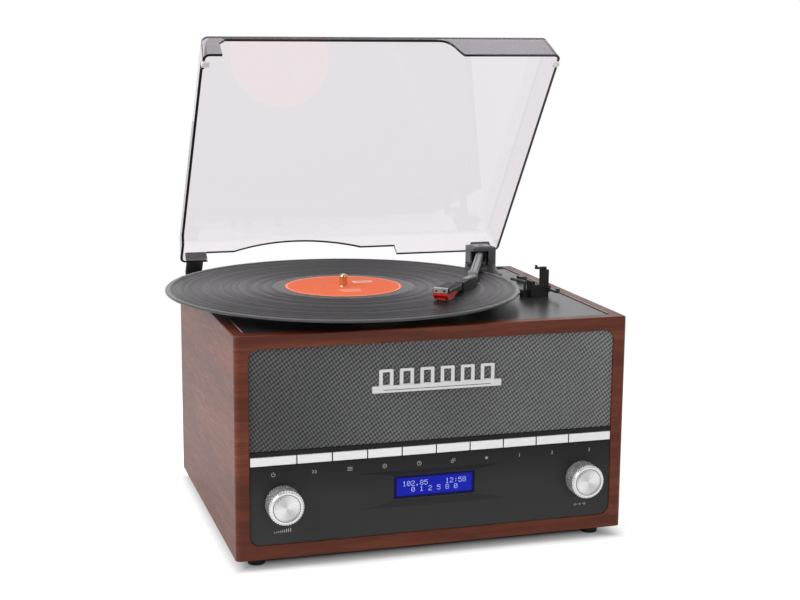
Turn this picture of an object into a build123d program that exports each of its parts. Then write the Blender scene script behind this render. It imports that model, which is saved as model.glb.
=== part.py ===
from build123d import *
import math
import os

os.makedirs("parts", exist_ok=True)

# A small table-top record player with a built-in radio. All sizes in millimetres.
# Origin: the middle of the bottom board's underside. +X is right, +Y is back, +Z is up.
# The lid stands open and the stylus rests over the record, as in use.

# Cabinet
cab_w = 324.0
cab_d = 262.0
cab_h = 178.0
board_t = 11.0
back_t = 11.0
bottom_t = 9.0
corner_r = 4.0
edge_r = 1.5
window_margin = 11.0
window_r = 8.0
window_edge_r = 0.8
panel_split_z = 86.0
fit_gap = 0.3

# Feet
foot_h = 9.0
foot_r_top = 8.0
foot_r_floor = 6.8
foot_inset = 19.5
foot_seat = 1.0
foot_gap = 1.5

# Deck and its round well
deck_t = 3.0
deck_drop = 0.5
deck_gap = 0.5
well_wall = 2.2
well_depth = 9.0
well_floor_t = 2.5
well_gap = 3.0
well_lip_r = 0.8
cleat_w = 24.0
cleat_d = 18.0
cleat_h = 20.0

# Record, platter and spindle
spindle_from_left = 119.0
spindle_before_middle = 3.0
record_r = 150.5
record_t = 2.0
record_step_w = 2.0
groove_t = 1.5
groove_outer_r = 147.0
groove_inner_r = 59.0
label_r = 50.0
label_t = 0.15
platter_r = 100.0
platter_t = 3.0
platter_edge_r = 1.2
platter_lift = 8.5
rim_t = 3.0
rim_h = 12.0
ring_r = 72.0
ring_t = 3.0
ring_h = 12.2
rib_t = 2.0
rib_h = 7.0
rib_lap = 1.0
rib_count = 6
hub_r = 11.0
mat_t = 2.0
mat_r = 98.0
spindle_r = 3.3
spindle_seat_r = 3.55
spindle_taper_h = 0.5
shaft_r = 4.0
spindle_rise = 10.5
spindle_dome_h = 2.5
record_bore_gap = 0.08
running_gap = 0.05

# Bearing, motor, pulley and belt
bearing_r = 7.9
bearing_flange_r = 14.0
bearing_flange_t = 1.5
bearing_l = 28.0
bearing_end_t = 3.0
pulley_r = 5.5
pulley_flange_r = 7.0
pulley_h = 7.0
pulley_flange_t = 1.0
pulley_distance = 86.0
pulley_angle = -25.0
belt_t = 0.6
belt_w = 4.0
belt_from_ring_end = 1.5
motor_r = 16.0
motor_h = 23.0
motor_shaft_r = 1.0
motor_end_t = 1.0
motor_edge_r = 1.5
pulley_gap = 1.0

# Tonearm
pivot_from_right = 45.0
pivot_from_back = 35.0
pivot_rise = 20.5
arm_drop = 3.0
arm_angle = 23.2
arm_park_angle = -3.7
arm_len = 136.0
arm_bend = 15.0
shell_reach = 72.0
tube_w = 7.0
tube_h = 6.0
tube_r = 2.0
tube_groove = 0.7
knuckle_r = 4.1
knuckle_h = 6.4
carrier_h = 4.6
tube_start = 17.8
neck_w = 4.0
neck_h = 5.0
arm_base_r = 20.5
arm_base_top_r = 14.5
arm_base_h = 11.0
arm_base_edge_h = 1.5
arm_base_waist_w = 1.2
arm_base_waist_rise = 5.0
spigot_r = 7.9
spigot_l = 9.5
swivel_r = 5.0
house_w = 23.0
house_d = 23.0
house_h = 16.0
house_wall = 1.6
house_roof = 2.0
house_slot_right = 4.0
house_slot_d = 7.5
house_slot_h = 12.5
house_corner_r = 1.6
soft_r = 1.2
yoke_r = 9.4
yoke_t = 2.0
cheek_t = 2.0
cheek_gap = 8.4
cheek_l = 8.0
cheek_rise = 2.4
arm_pin_r = 1.0
root_w = 7.6
root_l = 7.0
root_h = 6.0
neck_lap = 2.0
neck_r = 1.0
shell_w = 14.5
shell_l = 32.0
shell_r = 1.8
shell_h = 3.7
shell_top_rise = 22.7
shell_start = 46.0
cart_w = 12.0
cart_r = 1.5
cart_inset = 2.0
cart_l = 27.0
cart_h = 2.6
guard_w = 11.0
guard_l = 27.0
guard_ahead = 5.0
guard_rise = 1.0
guard_taper = 0.6
stylus_gap = 0.3
stylus_r = 0.3

# Arm rest, lock, lifter and cue lever
rest_reach = 123.0
rest_w = 15.4
rest_d = 10.0
rest_h = 11.0
cradle_w = 8.8
lip_gap = 0.5
lock_gap = 3.5
lock_l = 11.0
lock_w = 4.0
lock_t = 1.6
lock_tip_t = 1.2
lock_tip_h = 1.8
lock_pin_r = 1.0
lock_pin_l = 6.0
lifter_r = 1.3
lifter_l = 19.0
lifter_angle = 164.5
lifter_z_rise = 12.8
lifter_stem_r = 1.2
lifter_off_side = 10.4
lifter_off_front = -3.0
guide_w = 6.0
guide_h = 6.0
outer_w = 4.4
lever_r = 3.2
lever_l = 19.0
lever_w = 3.0
lever_t = 2.0
lever_z_rise = 6.5
lever_pin_r = 1.2
lever_pin_l = 4.0

# Speed switch
switch_l = 9.0
switch_w = 4.0
switch_h = 4.5
switch_cap_w = 7.0
switch_ridge = 0.6
switch_r = 1.0
switch_keeper_t = 1.5
switch_travel = 7.0
switch_from_right = 21.0
switch_from_back = 81.0

# Lid and hinges
lid_open_angle = 53.0
lid_inset_side = 4.0
lid_inset_front = 10.0
lid_inset_back = 7.0
lid_h = 28.0
lid_t = 2.4
lid_draft = 3.0
lid_r = 6.0
lid_edge_r = 1.5
lid_gap = 2.5
notch_gap = 1.6
notch_h = 11.0
notch_roof_h = 5.0
notch_corner = 6.0
notch_slope = 18.0
notch_slope_lead = 5.0
arch_half_w = 62.0
arch_rise = 11.0
arch_left_w = 27.0
arch_right_w = 34.0
bumper_w = 6.0
bumper_l = 5.0
bumper_from_front = 10.0
bumper_r = 0.8
hinge_behind = 19.0
hinge_below = 28.0
hinge_from_side = 20.0
hinge_w = 22.0
hinge_plate_t = 2.0
hinge_plate_h = 34.0
hinge_ear_t = 3.0
hinge_r = 5.0
hinge_pin_r = 2.0
leaf_plate_w = 20.0
leaf_plate_h = 9.0
leaf_plate_r = 1.5
leaf_t = 3.0
leaf_rise = 3.0
leaf_plate_t = 2.0
strap_w = 15.4
strap_off = 0.5
strap_rise = 7.0

# Front panel
panel_recess = 1.0
panel_t = 5.2
panel_skin = 2.6
panel_pocket_low = 3.0
panel_pocket_r = 3.0
key_groove_low = 3.3
key_groove_high = 11.5
key_h = 7.2
key_t = 2.6
key_gap = 0.9
key_end_w = 36.4
key_end_gap = 0.5
key_stand = 0.6
key_travel = 0.8
key_stem_w = 5.0
key_stem_h = 3.6
key_stem_l = 9.0
key_crown_r = 0.6
display_w = 68.0
display_h = 18.6
display_z = 47.8
sunk_w = 138.0
sunk_h = 30.0
sunk_depth = 3.4
sunk_r = 4.0
sunk_floor_r = 1.5
sunk_floor_margin = 1.2
display_glass_t = 1.5
display_r = 0.8
display_frame = 6.0
module_t = 6.0
knob_from_side = 25.4
knob_z = 45.0
knob_r = 14.0
knob_face_r = 13.0
knob_l = 15.6
knob_ring_r = 9.6
knob_ring_w = 0.8
knob_ring_depth = 0.5
knob_chamfer = 0.5
flute_r = 0.6
flute_count = 40
control_shaft_r = 3.0
control_shaft_l = 12.0
control_w = 16.0
control_t = 12.0
control_r = 1.0
knob_bore_l = 11.0
knob_face_l = 1.6
push_travel = 0.6
key_board_h = 14.0
button_w = 6.0
boss_r = 3.0
boss_l = 9.5
circuit_t = 1.6

# Cloth, baffle and loudspeakers
cloth_recess = 2.0
cloth_t = 0.8
baffle_t = 6.0
speaker_from_side = 55.7
speaker_margin = 2.7
speaker_flange_w = 5.5
speaker_lap = 1.0
speaker_depth = 24.0
speaker_skin = 1.2
magnet_r = 22.0
magnet_t = 12.0
cone_edge_w = 2.5
cone_depth = 13.0
cone_t = 0.8
coil_r = 10.0
coil_l = 3.0
cone_cap_h = 3.0

# Emblem
emblem_w = 107.0
emblem_bar_h = 5.6
emblem_z = 130.0
emblem_t = 2.2
emblem_end_w = 4.0
fin_h = 13.0
fin_w = 11.5
fin_pitch = 16.8
fin_stroke = 2.8
fin_behind = 0.6
fin_r = 1.0
emblem_r = 0.8
fin_count = 6

# Back panel fittings
socket_plate_w = 104.0
socket_plate_h = 36.0
socket_plate_t = 2.0
socket_window_w = 94.0
socket_window_h = 26.0
socket_plate_x = -60.0
socket_plate_z = 40.0
phono_r = 4.15
phono_bore_r = 1.6
phono_l = 8.0
aerial_r = 4.7
aerial_l = 10.0
aux_r = 4.0
aux_bore_r = 1.8
power_r = 5.5
power_bore_r = 2.75
power_depth = 9.0
socket_body_l = 12.0
socket_body_w = 14.0
socket_plate_r = 2.0
power_stand = 0.5
aux_stand = 1.5
power_offset = -38.0
left_offset = -12.0
right_offset = 4.0
aux_offset = 20.0
aerial_offset = 38.0
vent_w = 3.0
vent_l = 30.0
vent_count = 8
vent_pitch = 8.0
vent_z = 126.0

# Inside boards
main_board_w = 130.0
main_board_d = 80.0
main_board_y = -20.0
post_r = 3.0
post_h = 6.0
post_inset = 6.0
can_r = 6.0
can_h = 18.0
can_pitch = 24.0
can_x = -24.0
can_y = 16.0
sink_x = 30.0
sink_y = 10.0
sink_w = 42.0
sink_t = 6.0
sink_h = 24.0
sink_fin_d = 18.0
sink_fin_t = 2.0
sink_fin_pitch = 8.0
sink_fin_count = 5
chip_w = 18.0
chip_h = 3.0
chip_y = -18.0
receiver_x = -40.0
receiver_w = 14.0
receiver_d = 10.0

# Levels and planes that follow from the sizes
inner_w = cab_w - 2 * board_t
front_y = -cab_d / 2
back_y = cab_d / 2
front_in = front_y + board_t
back_in = back_y - back_t
inside_d = back_in - front_in
inside_mid_y = (front_in + back_in) / 2
window_low = window_margin
window_high = cab_h - window_margin
window_mid = (window_low + window_high) / 2
deck_top = cab_h - deck_drop
deck_low = deck_top - deck_t
well_r = platter_r + well_gap
well_top = deck_top - well_depth
well_low = well_top - well_floor_t
spindle_x = -cab_w / 2 + spindle_from_left
spindle_y = -spindle_before_middle
platter_top = deck_top + platter_lift
mat_top = platter_top + mat_t
record_top = mat_top + record_t
pivot_x = cab_w / 2 - pivot_from_right
pivot_y = back_y - pivot_from_back
pivot_z = deck_top + pivot_rise
arm_base_top = deck_top + arm_base_h
panel_front = front_y + panel_recess
panel_back = panel_front + panel_t
cloth_front = front_y + cloth_recess
cloth_back = cloth_front + cloth_t
baffle_back = cloth_back + baffle_t
panel_w = inner_w - 2 * fit_gap
knob_x = panel_w / 2 - knob_from_side
speaker_x = panel_w / 2 - speaker_from_side
rim_z = cab_h + lid_gap
hinge_y = back_y + hinge_behind
hinge_z = cab_h - hinge_below
hinge_axis = Axis((0, hinge_y, hinge_z), (1, 0, 0))


def heading(angle):
    """Direction over the deck: 0 points to the front, positive turns towards the left."""
    return (-math.sin(math.radians(angle)), -math.cos(math.radians(angle)))


def from_pivot(angle, reach):
    """Point over the deck at a reach from the tonearm's pivot."""
    along = heading(angle)
    return (pivot_x + along[0] * reach, pivot_y + along[1] * reach)


def plane_along(point, angle, z):
    """Level plane whose local X runs along the heading."""
    along = heading(angle)
    return Plane(origin=(point[0], point[1], z), x_dir=(along[0], along[1], 0), z_dir=(0, 0, 1))


# Cabinet wrap: one folded board with rounded front corners, open at the back
with BuildPart() as cabinet_wrap:
    with BuildSketch():
        Rectangle(cab_w, cab_d)
    extrude(amount=cab_h)
    fillet(cabinet_wrap.edges().filter_by(Axis.Z).group_by(Axis.Y)[0], radius=corner_r)
    fillet(cabinet_wrap.faces().sort_by(Axis.Z)[-1].edges().sort_by(Axis.Y)[:-1], radius=edge_r)
    with BuildSketch():
        with Locations((0, board_t / 2)):
            Rectangle(inner_w, cab_d - board_t)
    extrude(amount=cab_h, mode=Mode.SUBTRACT)
    with BuildSketch(Plane.XZ.offset(-front_y)):
        with Locations((0, window_mid)):
            RectangleRounded(inner_w, window_high - window_low, window_r)
    extrude(amount=-board_t, mode=Mode.SUBTRACT)
    front_face = cabinet_wrap.faces().sort_by(Axis.Y)[0]
    fillet(front_face.inner_wires()[0].edges(), radius=window_edge_r)

# Bottom board, between the wrap's walls, cut back below along its edges for the feet
foot_x = cab_w / 2 - foot_inset
foot_y = cab_d / 2 - foot_inset
with BuildPart() as bottom_board:
    with BuildSketch():
        with Locations((0, inside_mid_y)):
            Rectangle(inner_w, inside_d)
    extrude(amount=bottom_t)
    with BuildSketch():
        with Locations((0, inside_mid_y)):
            Rectangle(inner_w, inside_d)
        Rectangle(
            2 * (foot_x - foot_r_top - foot_gap),
            2 * (foot_y - foot_r_top - foot_gap),
            mode=Mode.SUBTRACT,
        )
    extrude(amount=foot_seat, mode=Mode.SUBTRACT)

# Back board with its slots for air and the window for the sockets
with BuildPart() as back_board:
    with BuildSketch(Plane.XZ.offset(-back_y)):
        with Locations((0, cab_h / 2)):
            Rectangle(inner_w, cab_h)
        with Locations((socket_plate_x, socket_plate_z)):
            Rectangle(socket_window_w, socket_window_h, mode=Mode.SUBTRACT)
        for side in (-1, 1):
            with Locations((side * speaker_x, vent_z)):
                with GridLocations(vent_pitch, vent_l, vent_count, 1):
                    SlotOverall(vent_l, vent_w, rotation=90, mode=Mode.SUBTRACT)
    extrude(amount=back_t)

# Feet, slightly tapered towards the shelf
foot_l = foot_h + foot_seat
with BuildPart() as feet:
    with Locations((0, 0, -foot_h)):
        with GridLocations(2 * foot_x, 2 * foot_y, 2, 2):
            Cone(foot_r_floor, foot_r_top, foot_l, align=(Align.CENTER, Align.CENTER, Align.MIN))

# Corner blocks under the deck
with BuildPart() as deck_cleats:
    with BuildSketch(Plane.XY.offset(deck_low - cleat_h)):
        with Locations((0, inside_mid_y)):
            with GridLocations(inner_w - cleat_w, inside_d - cleat_d, 2, 2):
                Rectangle(cleat_w, cleat_d)
    extrude(amount=cleat_h)

# Deck plate with the round well that the platter turns in
deck_w = inner_w - 2 * deck_gap
deck_d = inside_d - 2 * deck_gap
pulley_x = spindle_x + pulley_distance * math.cos(math.radians(pulley_angle))
pulley_y = spindle_y + pulley_distance * math.sin(math.radians(pulley_angle))
switch_x = cab_w / 2 - switch_from_right
switch_y = back_y - switch_from_back
with BuildPart() as deck_plate:
    with BuildSketch(Plane.XY.offset(deck_low)):
        with Locations((0, inside_mid_y)):
            Rectangle(deck_w, deck_d)
    extrude(amount=deck_t)
    with BuildSketch(Plane.XY.offset(well_low)):
        with Locations((spindle_x, spindle_y)):
            Circle(well_r + well_wall)
    extrude(amount=deck_low - well_low)
    with BuildSketch(Plane.XY.offset(well_top)):
        with Locations((spindle_x, spindle_y)):
            Circle(well_r)
    extrude(amount=well_depth, mode=Mode.SUBTRACT)
    well_mouth = deck_plate.edges().filter_by(GeomType.CIRCLE).group_by(Axis.Z)[-1]
    fillet(well_mouth, radius=well_lip_r)
    with BuildSketch(Plane.XY.offset(well_low)):
        with Locations((spindle_x, spindle_y)):
            Circle(bearing_r + fit_gap)
        with Locations((pulley_x, pulley_y)):
            Circle(pulley_flange_r + pulley_gap)
        with Locations((pivot_x, pivot_y)):
            Circle(spigot_r + fit_gap)
    extrude(amount=deck_top - well_low, mode=Mode.SUBTRACT)
    with BuildSketch(Plane.XY.offset(deck_low)):
        with Locations((switch_x, switch_y)):
            Rectangle(switch_w, switch_l + 2 * switch_travel + 2 * fit_gap)
    extrude(amount=deck_t, mode=Mode.SUBTRACT)

# Spindle bearing, hung in the well's floor
with BuildPart() as spindle_bearing:
    with BuildSketch(Plane.XZ.offset(-spindle_y)):
        with BuildLine():
            Polyline(
                (spindle_x, well_top - bearing_l),
                (spindle_x + bearing_r, well_top - bearing_l),
                (spindle_x + bearing_r, well_top),
                (spindle_x + bearing_flange_r, well_top),
                (spindle_x + bearing_flange_r, well_top + bearing_flange_t),
                (spindle_x + shaft_r + running_gap, well_top + bearing_flange_t),
                (spindle_x + shaft_r + running_gap, well_top - bearing_l + bearing_end_t),
                (spindle_x, well_top - bearing_l + bearing_end_t),
                close=True,
            )
        make_face()
    revolve(axis=Axis((spindle_x, spindle_y, 0), (0, 0, 1)))

# Spindle: thick shaft in the bearing, thin pin with a domed end through the record
with BuildPart() as spindle:
    with BuildSketch(Plane.XZ.offset(-spindle_y)):
        with BuildLine():
            shaft_low = well_top - bearing_l + bearing_end_t + fit_gap
            pin_low = record_top + label_t
            pin_high = pin_low + spindle_rise
            Polyline(
                (spindle_x, pin_high),
                (spindle_x, shaft_low),
                (spindle_x + shaft_r, shaft_low),
                (spindle_x + shaft_r, platter_top),
                (spindle_x + spindle_seat_r, platter_top),
                (spindle_x + spindle_seat_r, pin_low),
                (spindle_x + spindle_r, pin_low + spindle_taper_h),
                (spindle_x + spindle_r, pin_high),
                close=True,
            )
        make_face()
    revolve(axis=Axis((spindle_x, spindle_y, 0), (0, 0, 1)))
    fillet(spindle.edges().group_by(Axis.Z)[-1], radius=spindle_dome_h)

# Platter: plate with a rim, a hub, a drive ring and radial ribs below
hub_low = well_top + bearing_flange_t + fit_gap
plate_low = platter_top - platter_t
with BuildPart() as platter:
    with BuildSketch(Plane.XY.offset(plate_low)):
        with Locations((spindle_x, spindle_y)):
            Circle(platter_r)
    extrude(amount=platter_t)
    fillet(platter.edges().group_by(Axis.Z)[-1], radius=platter_edge_r)
    with BuildSketch(Plane.XY.offset(plate_low)):
        with Locations((spindle_x, spindle_y)):
            Circle(platter_r)
            Circle(platter_r - rim_t, mode=Mode.SUBTRACT)
    extrude(amount=platter_t - rim_h)
    with BuildSketch(Plane.XY.offset(plate_low)):
        with Locations((spindle_x, spindle_y)):
            Circle(ring_r)
            Circle(ring_r - ring_t, mode=Mode.SUBTRACT)
    extrude(amount=-ring_h)
    with BuildSketch(Plane.XY.offset(plate_low)):
        with Locations((spindle_x, spindle_y)):
            Circle(hub_r)
    extrude(amount=hub_low - plate_low)
    with BuildSketch(Plane.XY.offset(plate_low)):
        with Locations((spindle_x, spindle_y)):
            with PolarLocations((ring_r - ring_t + hub_r) / 2, rib_count):
                Rectangle(ring_r - ring_t - hub_r + 2 * rib_lap, rib_t)
    extrude(amount=-rib_h)
    with BuildSketch(Plane.XY.offset(hub_low)):
        with Locations((spindle_x, spindle_y)):
            Circle(shaft_r)
    extrude(amount=platter_top - hub_low, mode=Mode.SUBTRACT)

# Slip mat
with BuildPart() as slip_mat:
    with BuildSketch(Plane.XY.offset(platter_top)):
        with Locations((spindle_x, spindle_y)):
            Circle(mat_r)
            Circle(spindle_seat_r + record_bore_gap, mode=Mode.SUBTRACT)
    extrude(amount=mat_t)

# Record: thick centre, thin grooved band, beaded edge
groove_sink = (record_t - groove_t) / 2
with BuildPart() as record:
    with BuildSketch(Plane.XZ.offset(-spindle_y)):
        with BuildLine():
            Polyline(
                (spindle_x + spindle_seat_r + record_bore_gap, mat_top),
                (spindle_x + groove_inner_r, mat_top),
                (spindle_x + groove_inner_r + record_step_w, mat_top + groove_sink),
                (spindle_x + groove_outer_r - record_step_w, mat_top + groove_sink),
                (spindle_x + groove_outer_r, mat_top),
                (spindle_x + record_r - record_t / 3, mat_top),
                (spindle_x + record_r, mat_top + record_t / 3),
                (spindle_x + record_r, record_top - record_t / 3),
                (spindle_x + record_r - record_t / 3, record_top),
                (spindle_x + groove_outer_r, record_top),
                (spindle_x + groove_outer_r - record_step_w, record_top - groove_sink),
                (spindle_x + groove_inner_r + record_step_w, record_top - groove_sink),
                (spindle_x + groove_inner_r, record_top),
                (spindle_x + spindle_seat_r + record_bore_gap, record_top),
                close=True,
            )
        make_face()
    revolve(axis=Axis((spindle_x, spindle_y, 0), (0, 0, 1)))

# Paper label
with BuildPart() as record_label:
    with BuildSketch(Plane.XY.offset(record_top)):
        with Locations((spindle_x, spindle_y)):
            Circle(label_r)
            Circle(spindle_seat_r + record_bore_gap, mode=Mode.SUBTRACT)
    extrude(amount=label_t)

# Motor, hung under the well's floor
motor_top = well_low - fit_gap
with BuildPart() as platter_motor:
    with BuildSketch(Plane.XY.offset(motor_top)):
        with Locations((pulley_x, pulley_y)):
            Circle(motor_r)
            Circle(motor_shaft_r + running_gap, mode=Mode.SUBTRACT)
    extrude(amount=-motor_h)
    fillet(platter_motor.edges().group_by(Axis.Z)[0].sort_by(SortBy.LENGTH)[-1:], radius=motor_edge_r)

# Motor pulley on its shaft, with a flange either side of the belt
belt_low = plate_low - ring_h + belt_from_ring_end
pulley_low = belt_low - (pulley_h - belt_w) / 2
motor_shaft_low = motor_top - motor_h + motor_end_t
with BuildPart() as motor_pulley:
    with BuildSketch(Plane.XZ.offset(-pulley_y)):
        with BuildLine():
            Polyline(
                (pulley_x, motor_shaft_low),
                (pulley_x + motor_shaft_r, motor_shaft_low),
                (pulley_x + motor_shaft_r, pulley_low - pulley_flange_t),
                (pulley_x + pulley_flange_r, pulley_low - pulley_flange_t),
                (pulley_x + pulley_flange_r, pulley_low),
                (pulley_x + pulley_r, pulley_low),
                (pulley_x + pulley_r, pulley_low + pulley_h),
                (pulley_x + pulley_flange_r, pulley_low + pulley_h),
                (pulley_x + pulley_flange_r, pulley_low + pulley_h + pulley_flange_t),
                (pulley_x, pulley_low + pulley_h + pulley_flange_t),
                close=True,
            )
        make_face()
    revolve(axis=Axis((pulley_x, pulley_y, 0), (0, 0, 1)))

# Belt: a flat band round the drive ring and the pulley
with BuildPart() as drive_belt:
    with BuildSketch(Plane.XY.offset(belt_low)) as belt_outline:
        with Locations((spindle_x, spindle_y)):
            Circle(ring_r + running_gap + belt_t)
        with Locations((pulley_x, pulley_y)):
            Circle(pulley_r + running_gap + belt_t)
        make_hull()
    extrude(amount=belt_w)
    with BuildSketch(Plane.XY.offset(belt_low)) as belt_inside:
        with Locations((spindle_x, spindle_y)):
            Circle(ring_r + running_gap)
        with Locations((pulley_x, pulley_y)):
            Circle(pulley_r + running_gap)
        make_hull()
    extrude(amount=belt_w, mode=Mode.SUBTRACT)

# Tonearm base: a flared foot on the deck with a spigot through it
with BuildPart() as tonearm_base:
    with BuildSketch(Plane.XZ.offset(-pivot_y)):
        with BuildLine():
            flare = Spline(
                (pivot_x + arm_base_r, deck_top + arm_base_edge_h),
                (pivot_x + arm_base_top_r + arm_base_waist_w, deck_top + arm_base_waist_rise),
                (pivot_x + arm_base_top_r, arm_base_top),
            )
            Polyline(
                flare @ 1,
                (pivot_x + swivel_r + running_gap, arm_base_top),
                (pivot_x + swivel_r + running_gap, deck_top - spigot_l),
                (pivot_x + spigot_r, deck_top - spigot_l),
                (pivot_x + spigot_r, deck_top),
                (pivot_x + arm_base_r, deck_top),
                flare @ 0,
            )
        make_face()
    revolve(axis=Axis((pivot_x, pivot_y, 0), (0, 0, 1)))

# Pivot housing: a square cap, open below, with a slot for the arm's swing
with BuildPart() as tonearm_housing:
    with BuildSketch(Plane.XY.offset(arm_base_top)):
        with Locations((pivot_x, pivot_y)):
            RectangleRounded(house_w, house_d, house_corner_r)
    extrude(amount=house_h)
    fillet(tonearm_housing.faces().sort_by(Axis.Z)[-1].edges(), radius=soft_r)
    with BuildSketch(Plane.XY.offset(arm_base_top)):
        with Locations((pivot_x, pivot_y)):
            Rectangle(house_w - 2 * house_wall, house_d - 2 * house_wall)
    extrude(amount=house_h - house_roof, mode=Mode.SUBTRACT)
    house_front = pivot_y - house_d / 2
    with BuildSketch(Plane.XZ.offset(-house_front)):
        slot_mid = pivot_x + (house_slot_right - house_w / 2) / 2
        with Locations((slot_mid, arm_base_top + house_slot_h / 2)):
            Rectangle(house_w / 2 + house_slot_right, house_slot_h)
    extrude(amount=-house_slot_d, mode=Mode.SUBTRACT)

# Swivel yoke: shaft, disc, two cheeks and the cross pin that the arm tilts on
pivot_point = (pivot_x, pivot_y)
disc_low = arm_base_top + fit_gap
with BuildPart() as tonearm_yoke:
    with BuildSketch(Plane.XY.offset(deck_top - spigot_l + fit_gap)):
        with Locations(pivot_point):
            Circle(swivel_r)
    extrude(amount=disc_low - (deck_top - spigot_l + fit_gap))
    with BuildSketch(Plane.XY.offset(disc_low)):
        with Locations(pivot_point):
            Circle(yoke_r)
    extrude(amount=yoke_t)
    cheek_low = disc_low + yoke_t
    cheek_high = pivot_z + cheek_rise
    with BuildSketch(plane_along(pivot_point, arm_angle, cheek_low)):
        with GridLocations(1, cheek_gap + cheek_t, 1, 2):
            Rectangle(cheek_l, cheek_t)
    extrude(amount=cheek_high - cheek_low)
    arm_heading = heading(arm_angle)
    across = (-arm_heading[1], arm_heading[0], 0)
    pin_half = cheek_gap / 2 + cheek_t
    pin_start = (
        pivot_x - across[0] * pin_half,
        pivot_y - across[1] * pin_half,
        pivot_z,
    )
    with BuildSketch(Plane(origin=pin_start, z_dir=across)):
        Circle(arm_pin_r)
    extrude(amount=2 * pin_half)

# Arm tube: root block on the cross pin, thin neck, grooved tube, bend and shell carrier
slope = math.atan(arm_drop / arm_len)
knuckle = from_pivot(arm_angle, arm_len)
knuckle_z = pivot_z - arm_drop
shell_angle = arm_angle + arm_bend
carrier_low = knuckle_z - carrier_h / 2
carrier_l = shell_start - fit_gap
arm_dir = (
    arm_heading[0] * math.cos(slope),
    arm_heading[1] * math.cos(slope),
    -math.sin(slope),
)


def arm_section(reach):
    """Plane across the tube at a reach from the pivot, local Y upwards."""
    origin = (
        pivot_x + arm_dir[0] * reach,
        pivot_y + arm_dir[1] * reach,
        pivot_z + arm_dir[2] * reach,
    )
    return Plane(origin=origin, x_dir=across, z_dir=(-arm_dir[0], -arm_dir[1], -arm_dir[2]))


with BuildPart() as tonearm_tube:
    with BuildSketch(arm_section(arm_len)):
        RectangleRounded(tube_w, tube_h, tube_r)
        with Locations((-tube_w / 5, tube_h / 2), (tube_w / 5, tube_h / 2)):
            Rectangle(tube_groove, 2 * tube_groove, mode=Mode.SUBTRACT)
    extrude(amount=arm_len - tube_start)
    with BuildSketch(arm_section(tube_start + neck_lap)):
        RectangleRounded(neck_w, neck_h, neck_r)
    extrude(amount=tube_start - root_l / 2 + 2 * neck_lap)
    with BuildSketch(plane_along(pivot_point, arm_angle, pivot_z - root_h / 2)):
        RectangleRounded(root_l, root_w, neck_r)
    extrude(amount=root_h)
    with BuildSketch(Plane.XY.offset(knuckle_z - knuckle_h / 2)):
        with Locations(knuckle):
            Circle(knuckle_r)
    extrude(amount=knuckle_h)
    with BuildSketch(plane_along(knuckle, shell_angle, carrier_low)):
        with Locations((carrier_l / 2, 0)):
            Rectangle(carrier_l, tube_w - 1)
    extrude(amount=carrier_h)
    with BuildSketch(Plane(origin=pin_start, z_dir=across)):
        Circle(arm_pin_r + running_gap)
    extrude(amount=2 * pin_half, mode=Mode.SUBTRACT)

# Headshell: rounded cover, hollow below, that the cartridge sits in
shell_top = deck_top + shell_top_rise
shell_low = shell_top - shell_h
with BuildPart() as headshell:
    with BuildSketch(plane_along(knuckle, shell_angle, shell_low)):
        with Locations((shell_start + shell_l / 2, 0)):
            RectangleRounded(shell_l, shell_w, shell_r)
    extrude(amount=shell_h)
    fillet(headshell.faces().sort_by(Axis.Z)[-1].edges(), radius=soft_r)

# Cartridge under the shell
with BuildPart() as cartridge:
    with BuildSketch(plane_along(knuckle, shell_angle, shell_low)):
        with Locations((shell_start + shell_l - cart_l / 2 - cart_inset, 0)):
            RectangleRounded(cart_l, cart_w, cart_r)
    extrude(amount=-cart_h)

# Stylus: a wedge-shaped holder with the tip just over the groove
guard_top = shell_low - cart_h
tip_low = record_top - groove_sink + stylus_gap
guard_low = tip_low + guard_rise
with BuildPart() as stylus:
    guard_end = shell_reach + guard_ahead
    with BuildSketch(plane_along(knuckle, shell_angle, guard_top)):
        with Locations((guard_end - guard_l / 2, 0)):
            Rectangle(guard_l, guard_w)
    with BuildSketch(plane_along(knuckle, shell_angle, guard_low)):
        with Locations((guard_end - guard_l / 4, 0)):
            Rectangle(guard_l / 2, guard_w * guard_taper)
    loft()
    with BuildSketch(plane_along(knuckle, shell_angle, guard_low)):
        with Locations((shell_reach, 0)):
            Circle(stylus_r)
    extrude(amount=tip_low - guard_low)

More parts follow.
